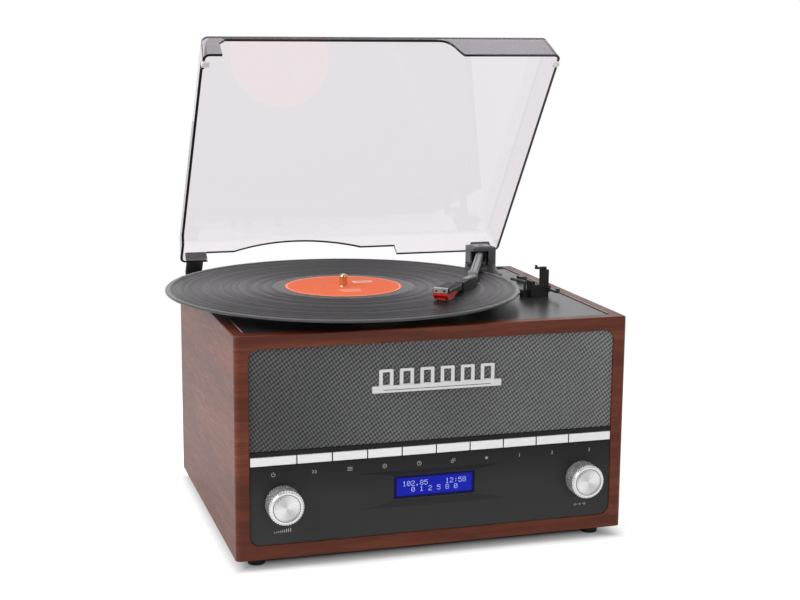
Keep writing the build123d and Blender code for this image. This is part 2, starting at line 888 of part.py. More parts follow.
# Arm rest: a post with a cradle, taller on its outer side
rest_point = from_pivot(arm_park_angle, rest_reach)
tube_low_at_rest = pivot_z - arm_drop * rest_reach / arm_len - tube_h / 2
lip_z = tube_low_at_rest - lip_gap
lock_low = tube_low_at_rest + tube_h + lock_gap
with BuildPart() as arm_rest:
    with BuildSketch(plane_along(rest_point, arm_park_angle, deck_top)):
        with Locations((0, (outer_w - (rest_w - cradle_w) / 2) / 2)):
            Rectangle(rest_d, rest_w + outer_w - (rest_w - cradle_w) / 2)
    extrude(amount=lip_z - deck_top)
    with BuildSketch(plane_along(rest_point, arm_park_angle, lip_z)):
        with Locations((0, cradle_w / 2 + outer_w / 2)):
            Rectangle(rest_d, outer_w)
    extrude(amount=lock_low - fit_gap - lip_z)
    with BuildSketch(plane_along(rest_point, arm_park_angle, deck_top + rest_h)):
        Rectangle(rest_d, cradle_w)
    extrude(amount=lip_z - deck_top, mode=Mode.SUBTRACT)
    with BuildSketch(plane_along(rest_point, arm_park_angle, deck_top)):
        with Locations((lifter_off_front, -rest_w / 2 - guide_w / 2)):
            Rectangle(guide_w, guide_w)
    extrude(amount=guide_h)
    lock_x_offset = cradle_w / 2 + outer_w / 2
    park = heading(arm_park_angle)
    lifter_foot = (
        rest_point[0] + park[0] * lifter_off_front + park[1] * lifter_off_side,
        rest_point[1] + park[1] * lifter_off_front - park[0] * lifter_off_side,
    )
    with BuildSketch(Plane.XY.offset(deck_top)):
        with Locations(lifter_foot):
            Circle(lifter_stem_r + running_gap)
    extrude(amount=guide_h, mode=Mode.SUBTRACT)
    lock_pin = (
        rest_point[0] - park[1] * lock_x_offset,
        rest_point[1] + park[0] * lock_x_offset,
    )
    with BuildSketch(Plane.XY.offset(lock_low - fit_gap)):
        with Locations(lock_pin):
            Circle(lock_pin_r + running_gap)
    extrude(amount=-lock_pin_l - fit_gap, mode=Mode.SUBTRACT)
    outer_side = cradle_w / 2 + outer_w
    to_right = (-park[1], park[0])
    lever_z = deck_top + lever_z_rise
    lever_hub = (
        rest_point[0] + to_right[0] * (outer_side + fit_gap),
        rest_point[1] + to_right[1] * (outer_side + fit_gap),
        lever_z,
    )
    lever_plane = Plane(
        origin=lever_hub, x_dir=(park[0], park[1], 0), z_dir=(to_right[0], to_right[1], 0)
    )
    with BuildSketch(lever_plane):
        Circle(lever_pin_r + running_gap)
    extrude(amount=-lever_pin_l - 2 * fit_gap, mode=Mode.SUBTRACT)

# Arm lock: a flat finger with a raised tip that turns on a pin over the cradle
with BuildPart() as arm_lock:
    with BuildSketch(plane_along(lock_pin, arm_park_angle, lock_low)):
        with Locations((0, -(lock_l - lock_w) / 2)):
            SlotOverall(lock_l, lock_w, rotation=90)
    extrude(amount=lock_t)
    with BuildSketch(plane_along(lock_pin, arm_park_angle, lock_low + lock_t)):
        with Locations((0, lock_w / 2 - lock_l + lock_tip_t)):
            Rectangle(lock_w * 0.7, lock_tip_t)
    extrude(amount=lock_tip_h)
    with BuildSketch(Plane.XY.offset(lock_low)):
        with Locations(lock_pin):
            Circle(lock_pin_r)
    extrude(amount=-lock_pin_l)

# Lifter bar: a round rod on a stem that slides in the guide block
lifter_z = deck_top + lifter_z_rise
lifter_along = heading(lifter_angle)
with BuildPart() as lifter_bar:
    with BuildSketch(Plane.XY.offset(deck_top + fit_gap)):
        with Locations(lifter_foot):
            Circle(lifter_stem_r)
    extrude(amount=lifter_z_rise - fit_gap)
    rod_start = (lifter_foot[0], lifter_foot[1], lifter_z)
    with BuildSketch(Plane(origin=rod_start, z_dir=(lifter_along[0], lifter_along[1], 0))):
        Circle(lifter_r)
    extrude(amount=lifter_l)
    with Locations(rod_start):
        Sphere(lifter_r)
    rod_end = (
        lifter_foot[0] + lifter_along[0] * lifter_l,
        lifter_foot[1] + lifter_along[1] * lifter_l,
        lifter_z,
    )
    with Locations(rod_end):
        Sphere(lifter_r)

# Cue lever: hub and pin on the rest's outer side, arm to the front with a turned-up end
with BuildPart() as cue_lever:
    with BuildSketch(lever_plane):
        Circle(lever_r)
        with Locations((lever_l / 2, 0)):
            Rectangle(lever_l, lever_t)
        with Locations((lever_l, -lever_t / 2)):
            Rectangle(lever_t, 2 * lever_t)
    extrude(amount=lever_w)
    with BuildSketch(lever_plane):
        Circle(lever_pin_r)
    extrude(amount=-lever_pin_l)

# Speed switch: ridged cap above the deck, stem in the slot, keeper plate below
with BuildPart() as speed_switch:
    with BuildSketch(Plane.XY.offset(deck_top + fit_gap)):
        with Locations((switch_x, switch_y)):
            RectangleRounded(switch_cap_w, switch_l, switch_r)
    extrude(amount=switch_h)
    with BuildSketch(Plane.XY.offset(deck_top + fit_gap + switch_h)):
        with Locations((switch_x, switch_y)):
            with GridLocations(1, switch_l / 4, 1, 3):
                Rectangle(switch_cap_w, switch_ridge)
    extrude(amount=-switch_ridge, mode=Mode.SUBTRACT)
    with BuildSketch(Plane.XY.offset(deck_low - fit_gap)):
        with Locations((switch_x, switch_y)):
            Rectangle(switch_w - 2 * fit_gap, switch_l)
    extrude(amount=deck_t + 2 * fit_gap)
    with BuildSketch(Plane.XY.offset(deck_low - fit_gap)):
        with Locations((switch_x, switch_y)):
            Rectangle(switch_cap_w, switch_l)
    extrude(amount=-switch_keeper_t)

# Lid, drawn closed: tapered tray with cut-outs where the record overhangs
lid_rim_w = cab_w - 2 * lid_inset_side
lid_front = front_y + lid_inset_front
lid_back = back_y - lid_inset_back
lid_top = rim_z + lid_h
lid_rim_d = lid_back - lid_front
lid_rim_mid = (lid_back + lid_front) / 2
inner_draft = lid_draft * (lid_h - lid_t) / lid_h
notch_top = rim_z + notch_h
notch_roof = lid_top - notch_roof_h
with BuildPart() as lid_closed:
    with BuildSketch(Plane.XY.offset(rim_z)):
        with Locations((0, lid_rim_mid)):
            RectangleRounded(lid_rim_w, lid_rim_d, lid_r)
    with BuildSketch(Plane.XY.offset(lid_top)):
        with Locations((0, lid_rim_mid + lid_draft / 2)):
            RectangleRounded(lid_rim_w - 2 * lid_draft, lid_rim_d - lid_draft, lid_r)
    loft()
    fillet(lid_closed.faces().sort_by(Axis.Z)[-1].edges(), radius=lid_edge_r)
    with BuildSketch(Plane.XY.offset(rim_z)):
        with Locations((0, lid_rim_mid)):
            RectangleRounded(lid_rim_w - 2 * lid_t, lid_rim_d - 2 * lid_t, lid_r - lid_t)
    with BuildSketch(Plane.XY.offset(lid_top - lid_t)):
        with Locations((0, lid_rim_mid + inner_draft / 2)):
            RectangleRounded(
                lid_rim_w - 2 * lid_t - 2 * inner_draft,
                lid_rim_d - 2 * lid_t - inner_draft,
                lid_r - lid_t,
            )
    loft(mode=Mode.SUBTRACT)
    clear_r = record_r + notch_gap
    front_reach = spindle_y - (lid_front + lid_t)
    front_half = math.sqrt(clear_r**2 - front_reach**2)
    with BuildSketch(Plane.XZ.offset(-lid_front + lid_draft)):
        with BuildLine():
            slope_start = spindle_x + front_half - notch_slope_lead
            slope_end = slope_start + notch_slope
            Polyline(
                (slope_end, rim_z),
                (slope_end, rim_z - lid_gap),
                (spindle_x - front_half, rim_z - lid_gap),
                (spindle_x - front_half, notch_roof - notch_corner),
                (spindle_x - front_half + notch_corner, notch_roof),
                (slope_start, notch_roof),
            )
            Spline((slope_start, notch_roof), (slope_end, rim_z), tangents=((1, 0), (1, -1.5)))
        make_face()
    extrude(amount=-2 * lid_draft - 2 * lid_t, mode=Mode.SUBTRACT)
    side_reach = spindle_x + lid_rim_w / 2 - lid_t
    side_half = math.sqrt(clear_r**2 - side_reach**2)
    with BuildSketch(Plane.YZ.offset(-lid_rim_w / 2 - lid_draft)):
        with Locations((spindle_y, rim_z + notch_h / 2)):
            Rectangle(2 * side_half, notch_h)
    extrude(amount=2 * lid_draft + 2 * lid_t, mode=Mode.SUBTRACT)
    arch_left = spindle_x - arch_half_w - arch_left_w
    arch_right = spindle_x + arch_half_w + arch_right_w
    with BuildSketch(Plane.XZ.offset(-lid_back - lid_t)):
        with BuildLine():
            Polyline(
                (arch_left, notch_top),
                (arch_left, rim_z - lid_gap),
                (arch_right, rim_z - lid_gap),
                (arch_right, notch_top),
                (spindle_x + arch_half_w, notch_top),
            )
            ThreePointArc(
                (spindle_x + arch_half_w, notch_top),
                (spindle_x, notch_top + arch_rise),
                (spindle_x - arch_half_w, notch_top),
            )
            Line((spindle_x - arch_half_w, notch_top), (arch_left, notch_top))
        make_face()
    extrude(amount=3 * lid_t, mode=Mode.SUBTRACT)

# Lid bumpers: pads on the side rims by the front corners
with BuildPart() as bumpers_closed:
    with BuildSketch(Plane.XY.offset(cab_h + fit_gap)):
        with Locations((0, lid_front + bumper_from_front)):
            with GridLocations(lid_rim_w - bumper_w, 1, 2, 1):
                RectangleRounded(bumper_w, bumper_l, bumper_r)
    extrude(amount=lid_gap - fit_gap)

# Hinge brackets on the back board: plate with two ears
hinge_x = cab_w / 2 - hinge_from_side
with BuildPart() as hinge_brackets:
    with BuildSketch(Plane.XZ.offset(-back_y)):
        with Locations((0, hinge_z)):
            with GridLocations(2 * hinge_x, 1, 2, 1):
                Rectangle(hinge_w, hinge_plate_h)
    extrude(amount=-hinge_plate_t)
    for side in (-1, 1):
        for ear in (-1, 1):
            ear_x = side * hinge_x + ear * (hinge_w - hinge_ear_t) / 2
            with BuildSketch(Plane.YZ.offset(ear_x - hinge_ear_t / 2)):
                with BuildLine():
                    Polyline(
                        (hinge_y, hinge_z + hinge_r),
                        (back_y, hinge_z + hinge_r),
                        (back_y, hinge_z - 2 * hinge_r),
                        (hinge_y, hinge_z - hinge_r),
                    )
                    ThreePointArc(
                        (hinge_y, hinge_z - hinge_r),
                        (hinge_y + hinge_r, hinge_z),
                        (hinge_y, hinge_z + hinge_r),
                    )
                make_face()
                with Locations((hinge_y, hinge_z)):
                    Circle(hinge_pin_r + running_gap, mode=Mode.SUBTRACT)
            extrude(amount=hinge_ear_t)

# Hinge pins
with BuildPart() as hinge_pins:
    for side in (-1, 1):
        with BuildSketch(Plane.YZ.offset(side * hinge_x - hinge_w / 2)):
            with Locations((hinge_y, hinge_z)):
                Circle(hinge_pin_r)
        extrude(amount=hinge_w)

# Hinge leaves, drawn closed: barrel, bent strap and a plate on the lid's back wall
strap_y = hinge_y - hinge_r - strap_off
leaf_bottom = rim_z + leaf_rise
with BuildPart() as leaves_closed:
    for side in (-1, 1):
        with BuildSketch(Plane.YZ.offset(side * hinge_x - strap_w / 2)):
            with Locations((hinge_y, hinge_z)):
                Circle(hinge_r)
            with BuildLine():
                Polyline(
                    (strap_y, hinge_z),
                    (hinge_y - hinge_pin_r, hinge_z),
                    (hinge_y - hinge_pin_r, hinge_z + hinge_r),
                    (strap_y + leaf_t, hinge_z + hinge_r + strap_off),
                    (strap_y + leaf_t, leaf_bottom + strap_rise),
                    (lid_back, leaf_bottom + strap_rise),
                    (lid_back, leaf_bottom + strap_rise - leaf_t),
                    (strap_y, leaf_bottom + strap_rise - leaf_t),
                    close=True,
                )
            make_face()
            with Locations((hinge_y, hinge_z)):
                Circle(hinge_pin_r + running_gap, mode=Mode.SUBTRACT)
        extrude(amount=strap_w)
        with BuildSketch(Plane.XZ.offset(-lid_back)):
            with Locations((side * hinge_x, leaf_bottom + leaf_plate_h / 2)):
                RectangleRounded(leaf_plate_w, leaf_plate_h, leaf_plate_r)
        extrude(amount=-leaf_plate_t)

# The lid and what it carries, swung open
lid = lid_closed.part.rotate(hinge_axis, -lid_open_angle)
lid_bumpers = bumpers_closed.part.rotate(hinge_axis, -lid_open_angle)
hinge_leaves = leaves_closed.part.rotate(hinge_axis, -lid_open_angle)

# Control panel: groove for the keys, tapered well for the display, hollow back
panel_low = window_low + fit_gap
panel_h = panel_split_z - panel_low
groove_low = panel_split_z - key_groove_high
groove_high = panel_split_z - key_groove_low
key_groove_depth = key_t - key_stand + key_travel + fit_gap
key_z = (groove_low + groove_high) / 2
key_count = 10
key_row_w = inner_w - 2 * key_end_gap
key_mid_w = (key_row_w - 2 * key_end_w - (key_count - 1) * key_gap) / (key_count - 2)
key_centres = [-key_row_w / 2 + key_end_w / 2]
for number in range(key_count - 2):
    key_centres.append(
        -key_row_w / 2 + key_end_w + key_gap + key_mid_w / 2 + number * (key_mid_w + key_gap)
    )
key_centres.append(key_row_w / 2 - key_end_w / 2)
pocket_low = panel_low + panel_pocket_low
pocket_high = groove_low - panel_pocket_low
pocket_w = panel_w / 2 - sunk_w / 2 - 2 * panel_pocket_low
pocket_x = sunk_w / 2 + panel_pocket_low + pocket_w / 2
boss_back = panel_back + boss_l
with BuildPart() as control_panel:
    with BuildSketch(Plane.XZ.offset(-panel_front)) as panel_outline:
        with Locations((0, panel_low + panel_h / 2)):
            Rectangle(panel_w, panel_h)
        fillet(panel_outline.vertices().group_by(Axis.Y)[0], radius=window_r - fit_gap)
    extrude(amount=-panel_t)
    with BuildSketch(Plane.XZ.offset(-panel_front)):
        with Locations((0, key_z)):
            Rectangle(panel_w, groove_high - groove_low)
    extrude(amount=-key_groove_depth, mode=Mode.SUBTRACT)
    with BuildSketch(Plane.XZ.offset(-panel_front)):
        with Locations((0, display_z)):
            RectangleRounded(sunk_w, sunk_h, sunk_r)
    with BuildSketch(Plane.XZ.offset(-panel_front - sunk_depth)):
        with Locations((0, display_z)):
            RectangleRounded(
                display_w + 2 * sunk_floor_margin, display_h + 2 * sunk_floor_margin, sunk_floor_r
            )
    loft(mode=Mode.SUBTRACT)
    with BuildSketch(Plane.XZ.offset(-panel_front)):
        with Locations((0, display_z)):
            RectangleRounded(display_w, display_h, display_r)
        for key_x in key_centres:
            with Locations((key_x, key_z)):
                Rectangle(key_stem_w + 2 * fit_gap, key_stem_h + 2 * fit_gap)
        for side in (-1, 1):
            with Locations((side * knob_x, knob_z)):
                Circle(control_shaft_r + fit_gap)
    extrude(amount=-panel_t, mode=Mode.SUBTRACT)
    with BuildSketch(Plane.XZ.offset(-panel_back)):
        with Locations((0, (pocket_low + pocket_high) / 2)):
            with GridLocations(2 * pocket_x, 1, 2, 1):
                RectangleRounded(pocket_w, pocket_high - pocket_low, panel_pocket_r)
    extrude(amount=panel_t - panel_skin, mode=Mode.SUBTRACT)
    with BuildSketch(Plane.XZ.offset(-panel_back)):
        for near, far in ((0, 1), (3, 4), (5, 6), (8, 9)):
            with Locations(((key_centres[near] + key_centres[far]) / 2, key_z)):
                Circle(boss_r)
    extrude(amount=-boss_l)

# Keys: brushed bar with a stem through the panel
key_titles = (
    "key_power",
    "key_scan",
    "key_menu",
    "key_info",
    "key_alarm",
    "key_mode",
    "key_preset",
    "key_one",
    "key_two",
    "key_three",
)
keys = []
for number, key_x in enumerate(key_centres):
    key_w = key_end_w if number in (0, key_count - 1) else key_mid_w
    with BuildPart() as key:
        with BuildSketch(Plane.XZ.offset(-panel_front + key_stand)):
            with Locations((key_x, key_z)):
                Rectangle(key_w, key_h)
        extrude(amount=-key_t)
        fillet(key.faces().sort_by(Axis.Y)[0].edges(), radius=key_crown_r)
        with BuildSketch(Plane.XZ.offset(-panel_front + key_stand - key_t)):
            with Locations((key_x, key_z)):
                Rectangle(key_stem_w, key_stem_h)
        extrude(amount=-key_stem_l)
    key.part.label = key_titles[number]
    keys.append(key.part)

# Key board: long circuit board on the panel's bosses, one switch behind each key
switch_face = panel_front - key_stand + key_t + key_stem_l + key_travel + fit_gap
with BuildPart() as key_board:
    with BuildSketch(Plane.XZ.offset(-boss_back)):
        with Locations((0, key_z)):
            Rectangle(panel_w - 2 * fit_gap, key_board_h)
    extrude(amount=-circuit_t)
    with BuildSketch(Plane.XZ.offset(-switch_face)):
        for key_x in key_centres:
            with Locations((key_x, key_z)):
                Rectangle(button_w, button_w)
    extrude(amount=switch_face - boss_back)

# Display: clear window in the panel and the module behind it
with BuildPart() as display_window:
    with BuildSketch(Plane.XZ.offset(-panel_back)):
        with Locations((0, display_z)):
            RectangleRounded(display_w - 2 * fit_gap, display_h - 2 * fit_gap, display_r - fit_gap)
    extrude(amount=display_glass_t)

with BuildPart() as display_module:
    with BuildSketch(Plane.XZ.offset(-panel_back - fit_gap)):
        with Locations((0, display_z)):
            Rectangle(display_w + 2 * display_frame, display_h + 2 * display_frame)
    extrude(amount=-module_t)


def knob_blank(title, centre_x):
    """Fluted knob with a ring turned in its face and a bore for its shaft."""
    knob_base = panel_front - push_travel - fit_gap
    knob_face = knob_base - knob_l
    with BuildPart() as knob:
        with BuildSketch(Plane.XZ.offset(-knob_base)):
            with Locations((centre_x, knob_z)):
                Circle(knob_r)
                with PolarLocations(knob_r, flute_count):
                    Circle(flute_r, mode=Mode.SUBTRACT)
        extrude(amount=knob_l - knob_face_l)
        with BuildSketch(Plane.XZ.offset(-knob_face)):
            with Locations((centre_x, knob_z)):
                Circle(knob_face_r)
        extrude(amount=-knob_face_l)
        chamfer(knob.faces().sort_by(Axis.Y)[0].edges(), length=knob_chamfer)
        with BuildSketch(Plane.XZ.offset(-knob_face)):
            with Locations((centre_x, knob_z)):
                Circle(knob_ring_r + knob_ring_w / 2)
                Circle(knob_ring_r - knob_ring_w / 2, mode=Mode.SUBTRACT)
        extrude(amount=-knob_ring_depth, mode=Mode.SUBTRACT)
        with BuildSketch(Plane.XZ.offset(-knob_base)):
            with Locations((centre_x, knob_z)):
                Circle(control_shaft_r + running_gap)
        extrude(amount=knob_bore_l, mode=Mode.SUBTRACT)
    knob.part.label = title
    return knob.part


def shaft_blank(title, centre_x):
    """Control shaft from inside its knob to inside its control."""
    shaft_front = panel_front - push_travel - knob_bore_l
    with BuildPart() as shaft:
        with BuildSketch(Plane.XZ.offset(-shaft_front)):
            with Locations((centre_x, knob_z)):
                Circle(control_shaft_r)
        extrude(amount=-knob_bore_l - control_shaft_l)
    shaft.part.label = title
    return shaft.part


def control_blank(title, centre_x, spare):
    """Control body against the panel's skin, with a blind bore for its shaft."""
    control_front = panel_front + panel_skin + fit_gap
    shaft_end = panel_front - push_travel + control_shaft_l
    with BuildPart() as control:
        with BuildSketch(Plane.XZ.offset(-control_front)):
            with Locations((centre_x, knob_z)):
                RectangleRounded(control_w, control_w, control_r)
        extrude(amount=-control_t)
        with BuildSketch(Plane.XZ.offset(-control_front)):
            with Locations((centre_x, knob_z)):
                Circle(control_shaft_r + running_gap)
        extrude(amount=-(shaft_end + spare + fit_gap - control_front), mode=Mode.SUBTRACT)
    control.part.label = title
    return control.part


volume_knob = knob_blank("volume_knob", -knob_x)
tuning_knob = knob_blank("tuning_knob", knob_x)
volume_shaft = shaft_blank("volume_shaft", -knob_x)
tuning_plunger = shaft_blank("tuning_plunger", knob_x)
volume_control = control_blank("volume_control", -knob_x, 0)
tuning_encoder = control_blank("tuning_encoder", knob_x, push_travel)

# Baffle board and the cloth stretched over it
baffle_low = panel_split_z + fit_gap
baffle_high = window_high - fit_gap
speaker_z = (baffle_low + baffle_high) / 2
speaker_r = (baffle_high - baffle_low) / 2 - speaker_margin
speaker_hole_r = speaker_r - speaker_flange_w
cone_r = speaker_hole_r - cone_edge_w
with BuildPart() as baffle_board:
    with BuildSketch(Plane.XZ.offset(-cloth_back)) as baffle_outline:
        with Locations((0, speaker_z)):
            Rectangle(panel_w, baffle_high - baffle_low)
        fillet(baffle_outline.vertices().group_by(Axis.Y)[-1], radius=window_r - fit_gap)
        with Locations((0, speaker_z)):
            with GridLocations(2 * speaker_x, 1, 2, 1):
                Circle(speaker_hole_r, mode=Mode.SUBTRACT)
    extrude(amount=-baffle_t)

with BuildPart() as grille_cloth:
    with BuildSketch(Plane.XZ.offset(-cloth_front)) as cloth_outline:
        with Locations((0, speaker_z)):
            Rectangle(panel_w, baffle_high - baffle_low)
        fillet(cloth_outline.vertices().group_by(Axis.Y)[-1], radius=window_r - fit_gap)
    extrude(amount=-cloth_t)

# Loudspeakers: basket with flange and magnet, and the cone inside it
basket_back = baffle_back + speaker_depth
basket_mouth = speaker_hole_r + speaker_lap
magnet_front = basket_back - magnet_t
basket_slope = (basket_mouth - magnet_r + speaker_skin) / (speaker_depth - magnet_t)
surround_r = basket_mouth - cone_t * basket_slope - fit_gap
with BuildPart() as speaker_drivers:
    for side in (-1, 1):
        with BuildSketch(Plane.XY.offset(speaker_z)):
            with BuildLine():
                Polyline(
                    (side * speaker_x, magnet_front),
                    (side * speaker_x, basket_back),
                    (side * speaker_x + magnet_r, basket_back),
                    (side * speaker_x + magnet_r, magnet_front),
                    (side * speaker_x + basket_mouth + speaker_skin, baffle_back + speaker_skin),
                    (side * speaker_x + speaker_r, baffle_back + speaker_skin),
                    (side * speaker_x + speaker_r, baffle_back),
                    (side * speaker_x + basket_mouth, baffle_back),
                    (side * speaker_x + magnet_r - speaker_skin, magnet_front),
                    close=True,
                )
            make_face()
        revolve(axis=Axis((side * speaker_x, 0, speaker_z), (0, 1, 0)))

with BuildPart() as speaker_cones:
    for side in (-1, 1):
        with BuildSketch(Plane.XY.offset(speaker_z)):
            with BuildLine():
                Polyline(
                    (side * speaker_x, magnet_front - fit_gap),
                    (side * speaker_x + coil_r, magnet_front - fit_gap),
                    (side * speaker_x + coil_r, magnet_front - coil_l + cone_t),
                    (side * speaker_x + cone_r, baffle_back + cone_t),
                    (side * speaker_x + surround_r, baffle_back + cone_t),
                    (side * speaker_x + surround_r, baffle_back),
                    (side * speaker_x + cone_r, baffle_back),
                    (side * speaker_x + coil_r, magnet_front - coil_l),
                    (side * speaker_x, magnet_front - coil_l - cone_cap_h),
                    close=True,
                )
            make_face()
        revolve(axis=Axis((side * speaker_x, 0, speaker_z), (0, 1, 0)))

# Emblem: bar with six plain open frames standing on its top edge
with BuildPart() as emblem_bar:
    with BuildSketch(Plane.XZ.offset(-cloth_front)):
        with Locations((0, emblem_z)):
            RectangleRounded(emblem_w, emblem_bar_h, emblem_r)
    extrude(amount=emblem_t)
    with BuildSketch(Plane.XZ.offset(-cloth_front)):
        with Locations((0, emblem_z + emblem_bar_h / 2 + fin_h / 2 - emblem_r)):
            with GridLocations(fin_pitch, 1, fin_count, 1):
                RectangleRounded(fin_w, fin_h + 2 * emblem_r, fin_r)
                Rectangle(fin_w - 2 * fin_stroke, fin_h - fin_stroke, mode=Mode.SUBTRACT)
    extrude(amount=emblem_t - fin_behind)

# Main circuit board on four posts, with its larger parts
main_low = bottom_t + post_h
with BuildPart() as main_board:
    with BuildSketch(Plane.XY.offset(main_low)):
        with Locations((0, main_board_y)):
            Rectangle(main_board_w, main_board_d)
    extrude(amount=circuit_t)
    with BuildSketch(Plane.XY.offset(bottom_t)):
        with Locations((0, main_board_y)):
            with GridLocations(main_board_w - 2 * post_inset, main_board_d - 2 * post_inset, 2, 2):
                Circle(post_r)
    extrude(amount=post_h)
    with BuildSketch(Plane.XY.offset(main_low + circuit_t)):
        with Locations((can_x, main_board_y + can_y)):
            with GridLocations(can_pitch, 1, 2, 1):
                Circle(can_r)
    extrude(amount=can_h)
    with BuildSketch(Plane.XY.offset(main_low + circuit_t)):
        with Locations((sink_x, main_board_y + sink_y)):
            Rectangle(sink_w, sink_t)
        with Locations((sink_x, main_board_y + sink_y + sink_fin_d / 2)):
            with GridLocations(sink_fin_pitch, 1, sink_fin_count, 1):
                Rectangle(sink_fin_t, sink_fin_d)
    extrude(amount=sink_h)
    with BuildSketch(Plane.XY.offset(main_low + circuit_t)):
        with Locations((0, main_board_y + chip_y)):
            Rectangle(chip_w, chip_w)
        with Locations((receiver_x, main_board_y + chip_y)):
            Rectangle(receiver_w, receiver_d)
    extrude(amount=chip_h)

# Socket plate on the back, over the window in the board
plate_back = back_y + socket_plate_t
sockets = (
    (power_offset, power_r, power_stand, power_bore_r, power_depth),
    (left_offset, phono_r, phono_l, phono_bore_r, phono_l),
    (right_offset, phono_r, phono_l, phono_bore_r, phono_l),
    (aux_offset, aux_r, aux_stand, aux_bore_r, socket_body_l),
    (aerial_offset, aerial_r, aerial_l, phono_bore_r, aerial_l),
)
with BuildPart() as socket_plate:
    with BuildSketch(Plane.XZ.offset(-back_y)):
        with Locations((socket_plate_x, socket_plate_z)):
            RectangleRounded(socket_plate_w, socket_plate_h, socket_plate_r)
        for offset, outer_r, stand, bore_r, depth in sockets:
            with Locations((socket_plate_x + offset, socket_plate_z)):
                Circle(outer_r + fit_gap, mode=Mode.SUBTRACT)
    extrude(amount=-socket_plate_t)

# Sockets: bodies inside the plate, round fronts through it
with BuildPart() as rear_sockets:
    for offset, outer_r, stand, bore_r, depth in sockets:
        with BuildSketch(Plane.XZ.offset(-plate_back - stand)):
            with Locations((socket_plate_x + offset, socket_plate_z)):
                Circle(outer_r)
        extrude(amount=stand + socket_plate_t + 2 * fit_gap)
        with BuildSketch(Plane.XZ.offset(-back_y + fit_gap)):
            with Locations((socket_plate_x + offset, socket_plate_z)):
                Rectangle(socket_body_w, socket_body_w)
        extrude(amount=socket_body_l)
    for offset, outer_r, stand, bore_r, depth in sockets:
        with BuildSketch(Plane.XZ.offset(-plate_back - stand)):
            with Locations((socket_plate_x + offset, socket_plate_z)):
                Circle(bore_r)
        extrude(amount=depth, mode=Mode.SUBTRACT)

# Labels and STEP files
lid.label = "lid"
lid_bumpers.label = "lid_bumpers"
hinge_leaves.label = "hinge_leaves"
for piece in (lid, lid_bumpers, hinge_leaves, volume_knob, tuning_knob, volume_shaft):
    export_step(piece, "parts/" + piece.label + ".step")
for piece in (tuning_plunger, volume_control, tuning_encoder, *keys):
    export_step(piece, "parts/" + piece.label + ".step")
cabinet_wrap.part.label = "cabinet_wrap"
bottom_board.part.label = "bottom_board"
back_board.part.label = "back_board"
feet.part.label = "feet"
deck_cleats.part.label = "deck_cleats"
deck_plate.part.label = "deck_plate"
spindle_bearing.part.label = "spindle_bearing"
spindle.part.label = "spindle"
platter.part.label = "platter"
slip_mat.part.label = "slip_mat"
record.part.label = "record"
record_label.part.label = "record_label"
platter_motor.part.label = "platter_motor"
motor_pulley.part.label = "motor_pulley"
drive_belt.part.label = "drive_belt"
tonearm_base.part.label = "tonearm_base"
tonearm_housing.part.label = "tonearm_housing"
tonearm_yoke.part.label = "tonearm_yoke"
tonearm_tube.part.label = "tonearm_tube"
headshell.part.label = "headshell"
cartridge.part.label = "cartridge"
stylus.part.label = "stylus"
arm_rest.part.label = "arm_rest"
arm_lock.part.label = "arm_lock"
lifter_bar.part.label = "lifter_bar"
cue_lever.part.label = "cue_lever"
speed_switch.part.label = "speed_switch"
hinge_brackets.part.label = "hinge_brackets"
hinge_pins.part.label = "hinge_pins"
control_panel.part.label = "control_panel"
key_board.part.label = "key_board"
display_window.part.label = "display_window"
display_module.part.label = "display_module"
baffle_board.part.label = "baffle_board"
grille_cloth.part.label = "grille_cloth"
speaker_drivers.part.label = "speaker_drivers"
speaker_cones.part.label = "speaker_cones"
emblem_bar.part.label = "emblem_bar"
main_board.part.label = "main_board"
socket_plate.part.label = "socket_plate"
rear_sockets.part.label = "rear_sockets"
export_step(cabinet_wrap.part, "parts/cabinet_wrap.step")
export_step(bottom_board.part, "parts/bottom_board.step")
export_step(back_board.part, "parts/back_board.step")
export_step(feet.part, "parts/feet.step")
export_step(deck_cleats.part, "parts/deck_cleats.step")
export_step(deck_plate.part, "parts/deck_plate.step")
export_step(spindle_bearing.part, "parts/spindle_bearing.step")
export_step(spindle.part, "parts/spindle.step")
export_step(platter.part, "parts/platter.step")
export_step(slip_mat.part, "parts/slip_mat.step")
export_step(record.part, "parts/record.step")
export_step(record_label.part, "parts/record_label.step")
export_step(platter_motor.part, "parts/platter_motor.step")
export_step(motor_pulley.part, "parts/motor_pulley.step")
export_step(drive_belt.part, "parts/drive_belt.step")
export_step(tonearm_base.part, "parts/tonearm_base.step")
export_step(tonearm_housing.part, "parts/tonearm_housing.step")
export_step(tonearm_yoke.part, "parts/tonearm_yoke.step")
export_step(tonearm_tube.part, "parts/tonearm_tube.step")
export_step(headshell.part, "parts/headshell.step")
export_step(cartridge.part, "parts/cartridge.step")
export_step(stylus.part, "parts/stylus.step")
export_step(arm_rest.part, "parts/arm_rest.step")
export_step(arm_lock.part, "parts/arm_lock.step")
export_step(lifter_bar.part, "parts/lifter_bar.step")
export_step(cue_lever.part, "parts/cue_lever.step")
export_step(speed_switch.part, "parts/speed_switch.step")
export_step(hinge_brackets.part, "parts/hinge_brackets.step")
export_step(hinge_pins.part, "parts/hinge_pins.step")
export_step(control_panel.part, "parts/control_panel.step")
export_step(key_board.part, "parts/key_board.step")
export_step(display_window.part, "parts/display_window.step")
export_step(display_module.part, "parts/display_module.step")
export_step(baffle_board.part, "parts/baffle_board.step")
export_step(grille_cloth.part, "parts/grille_cloth.step")
export_step(speaker_drivers.part, "parts/speaker_drivers.step")
export_step(speaker_cones.part, "parts/speaker_cones.step")
export_step(emblem_bar.part, "parts/emblem_bar.step")
export_step(main_board.part, "parts/main_board.step")
export_step(socket_plate.part, "parts/socket_plate.step")
export_step(rear_sockets.part, "parts/rear_sockets.step")
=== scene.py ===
import math

import bmesh
import bpy
from mathutils import Matrix, Vector


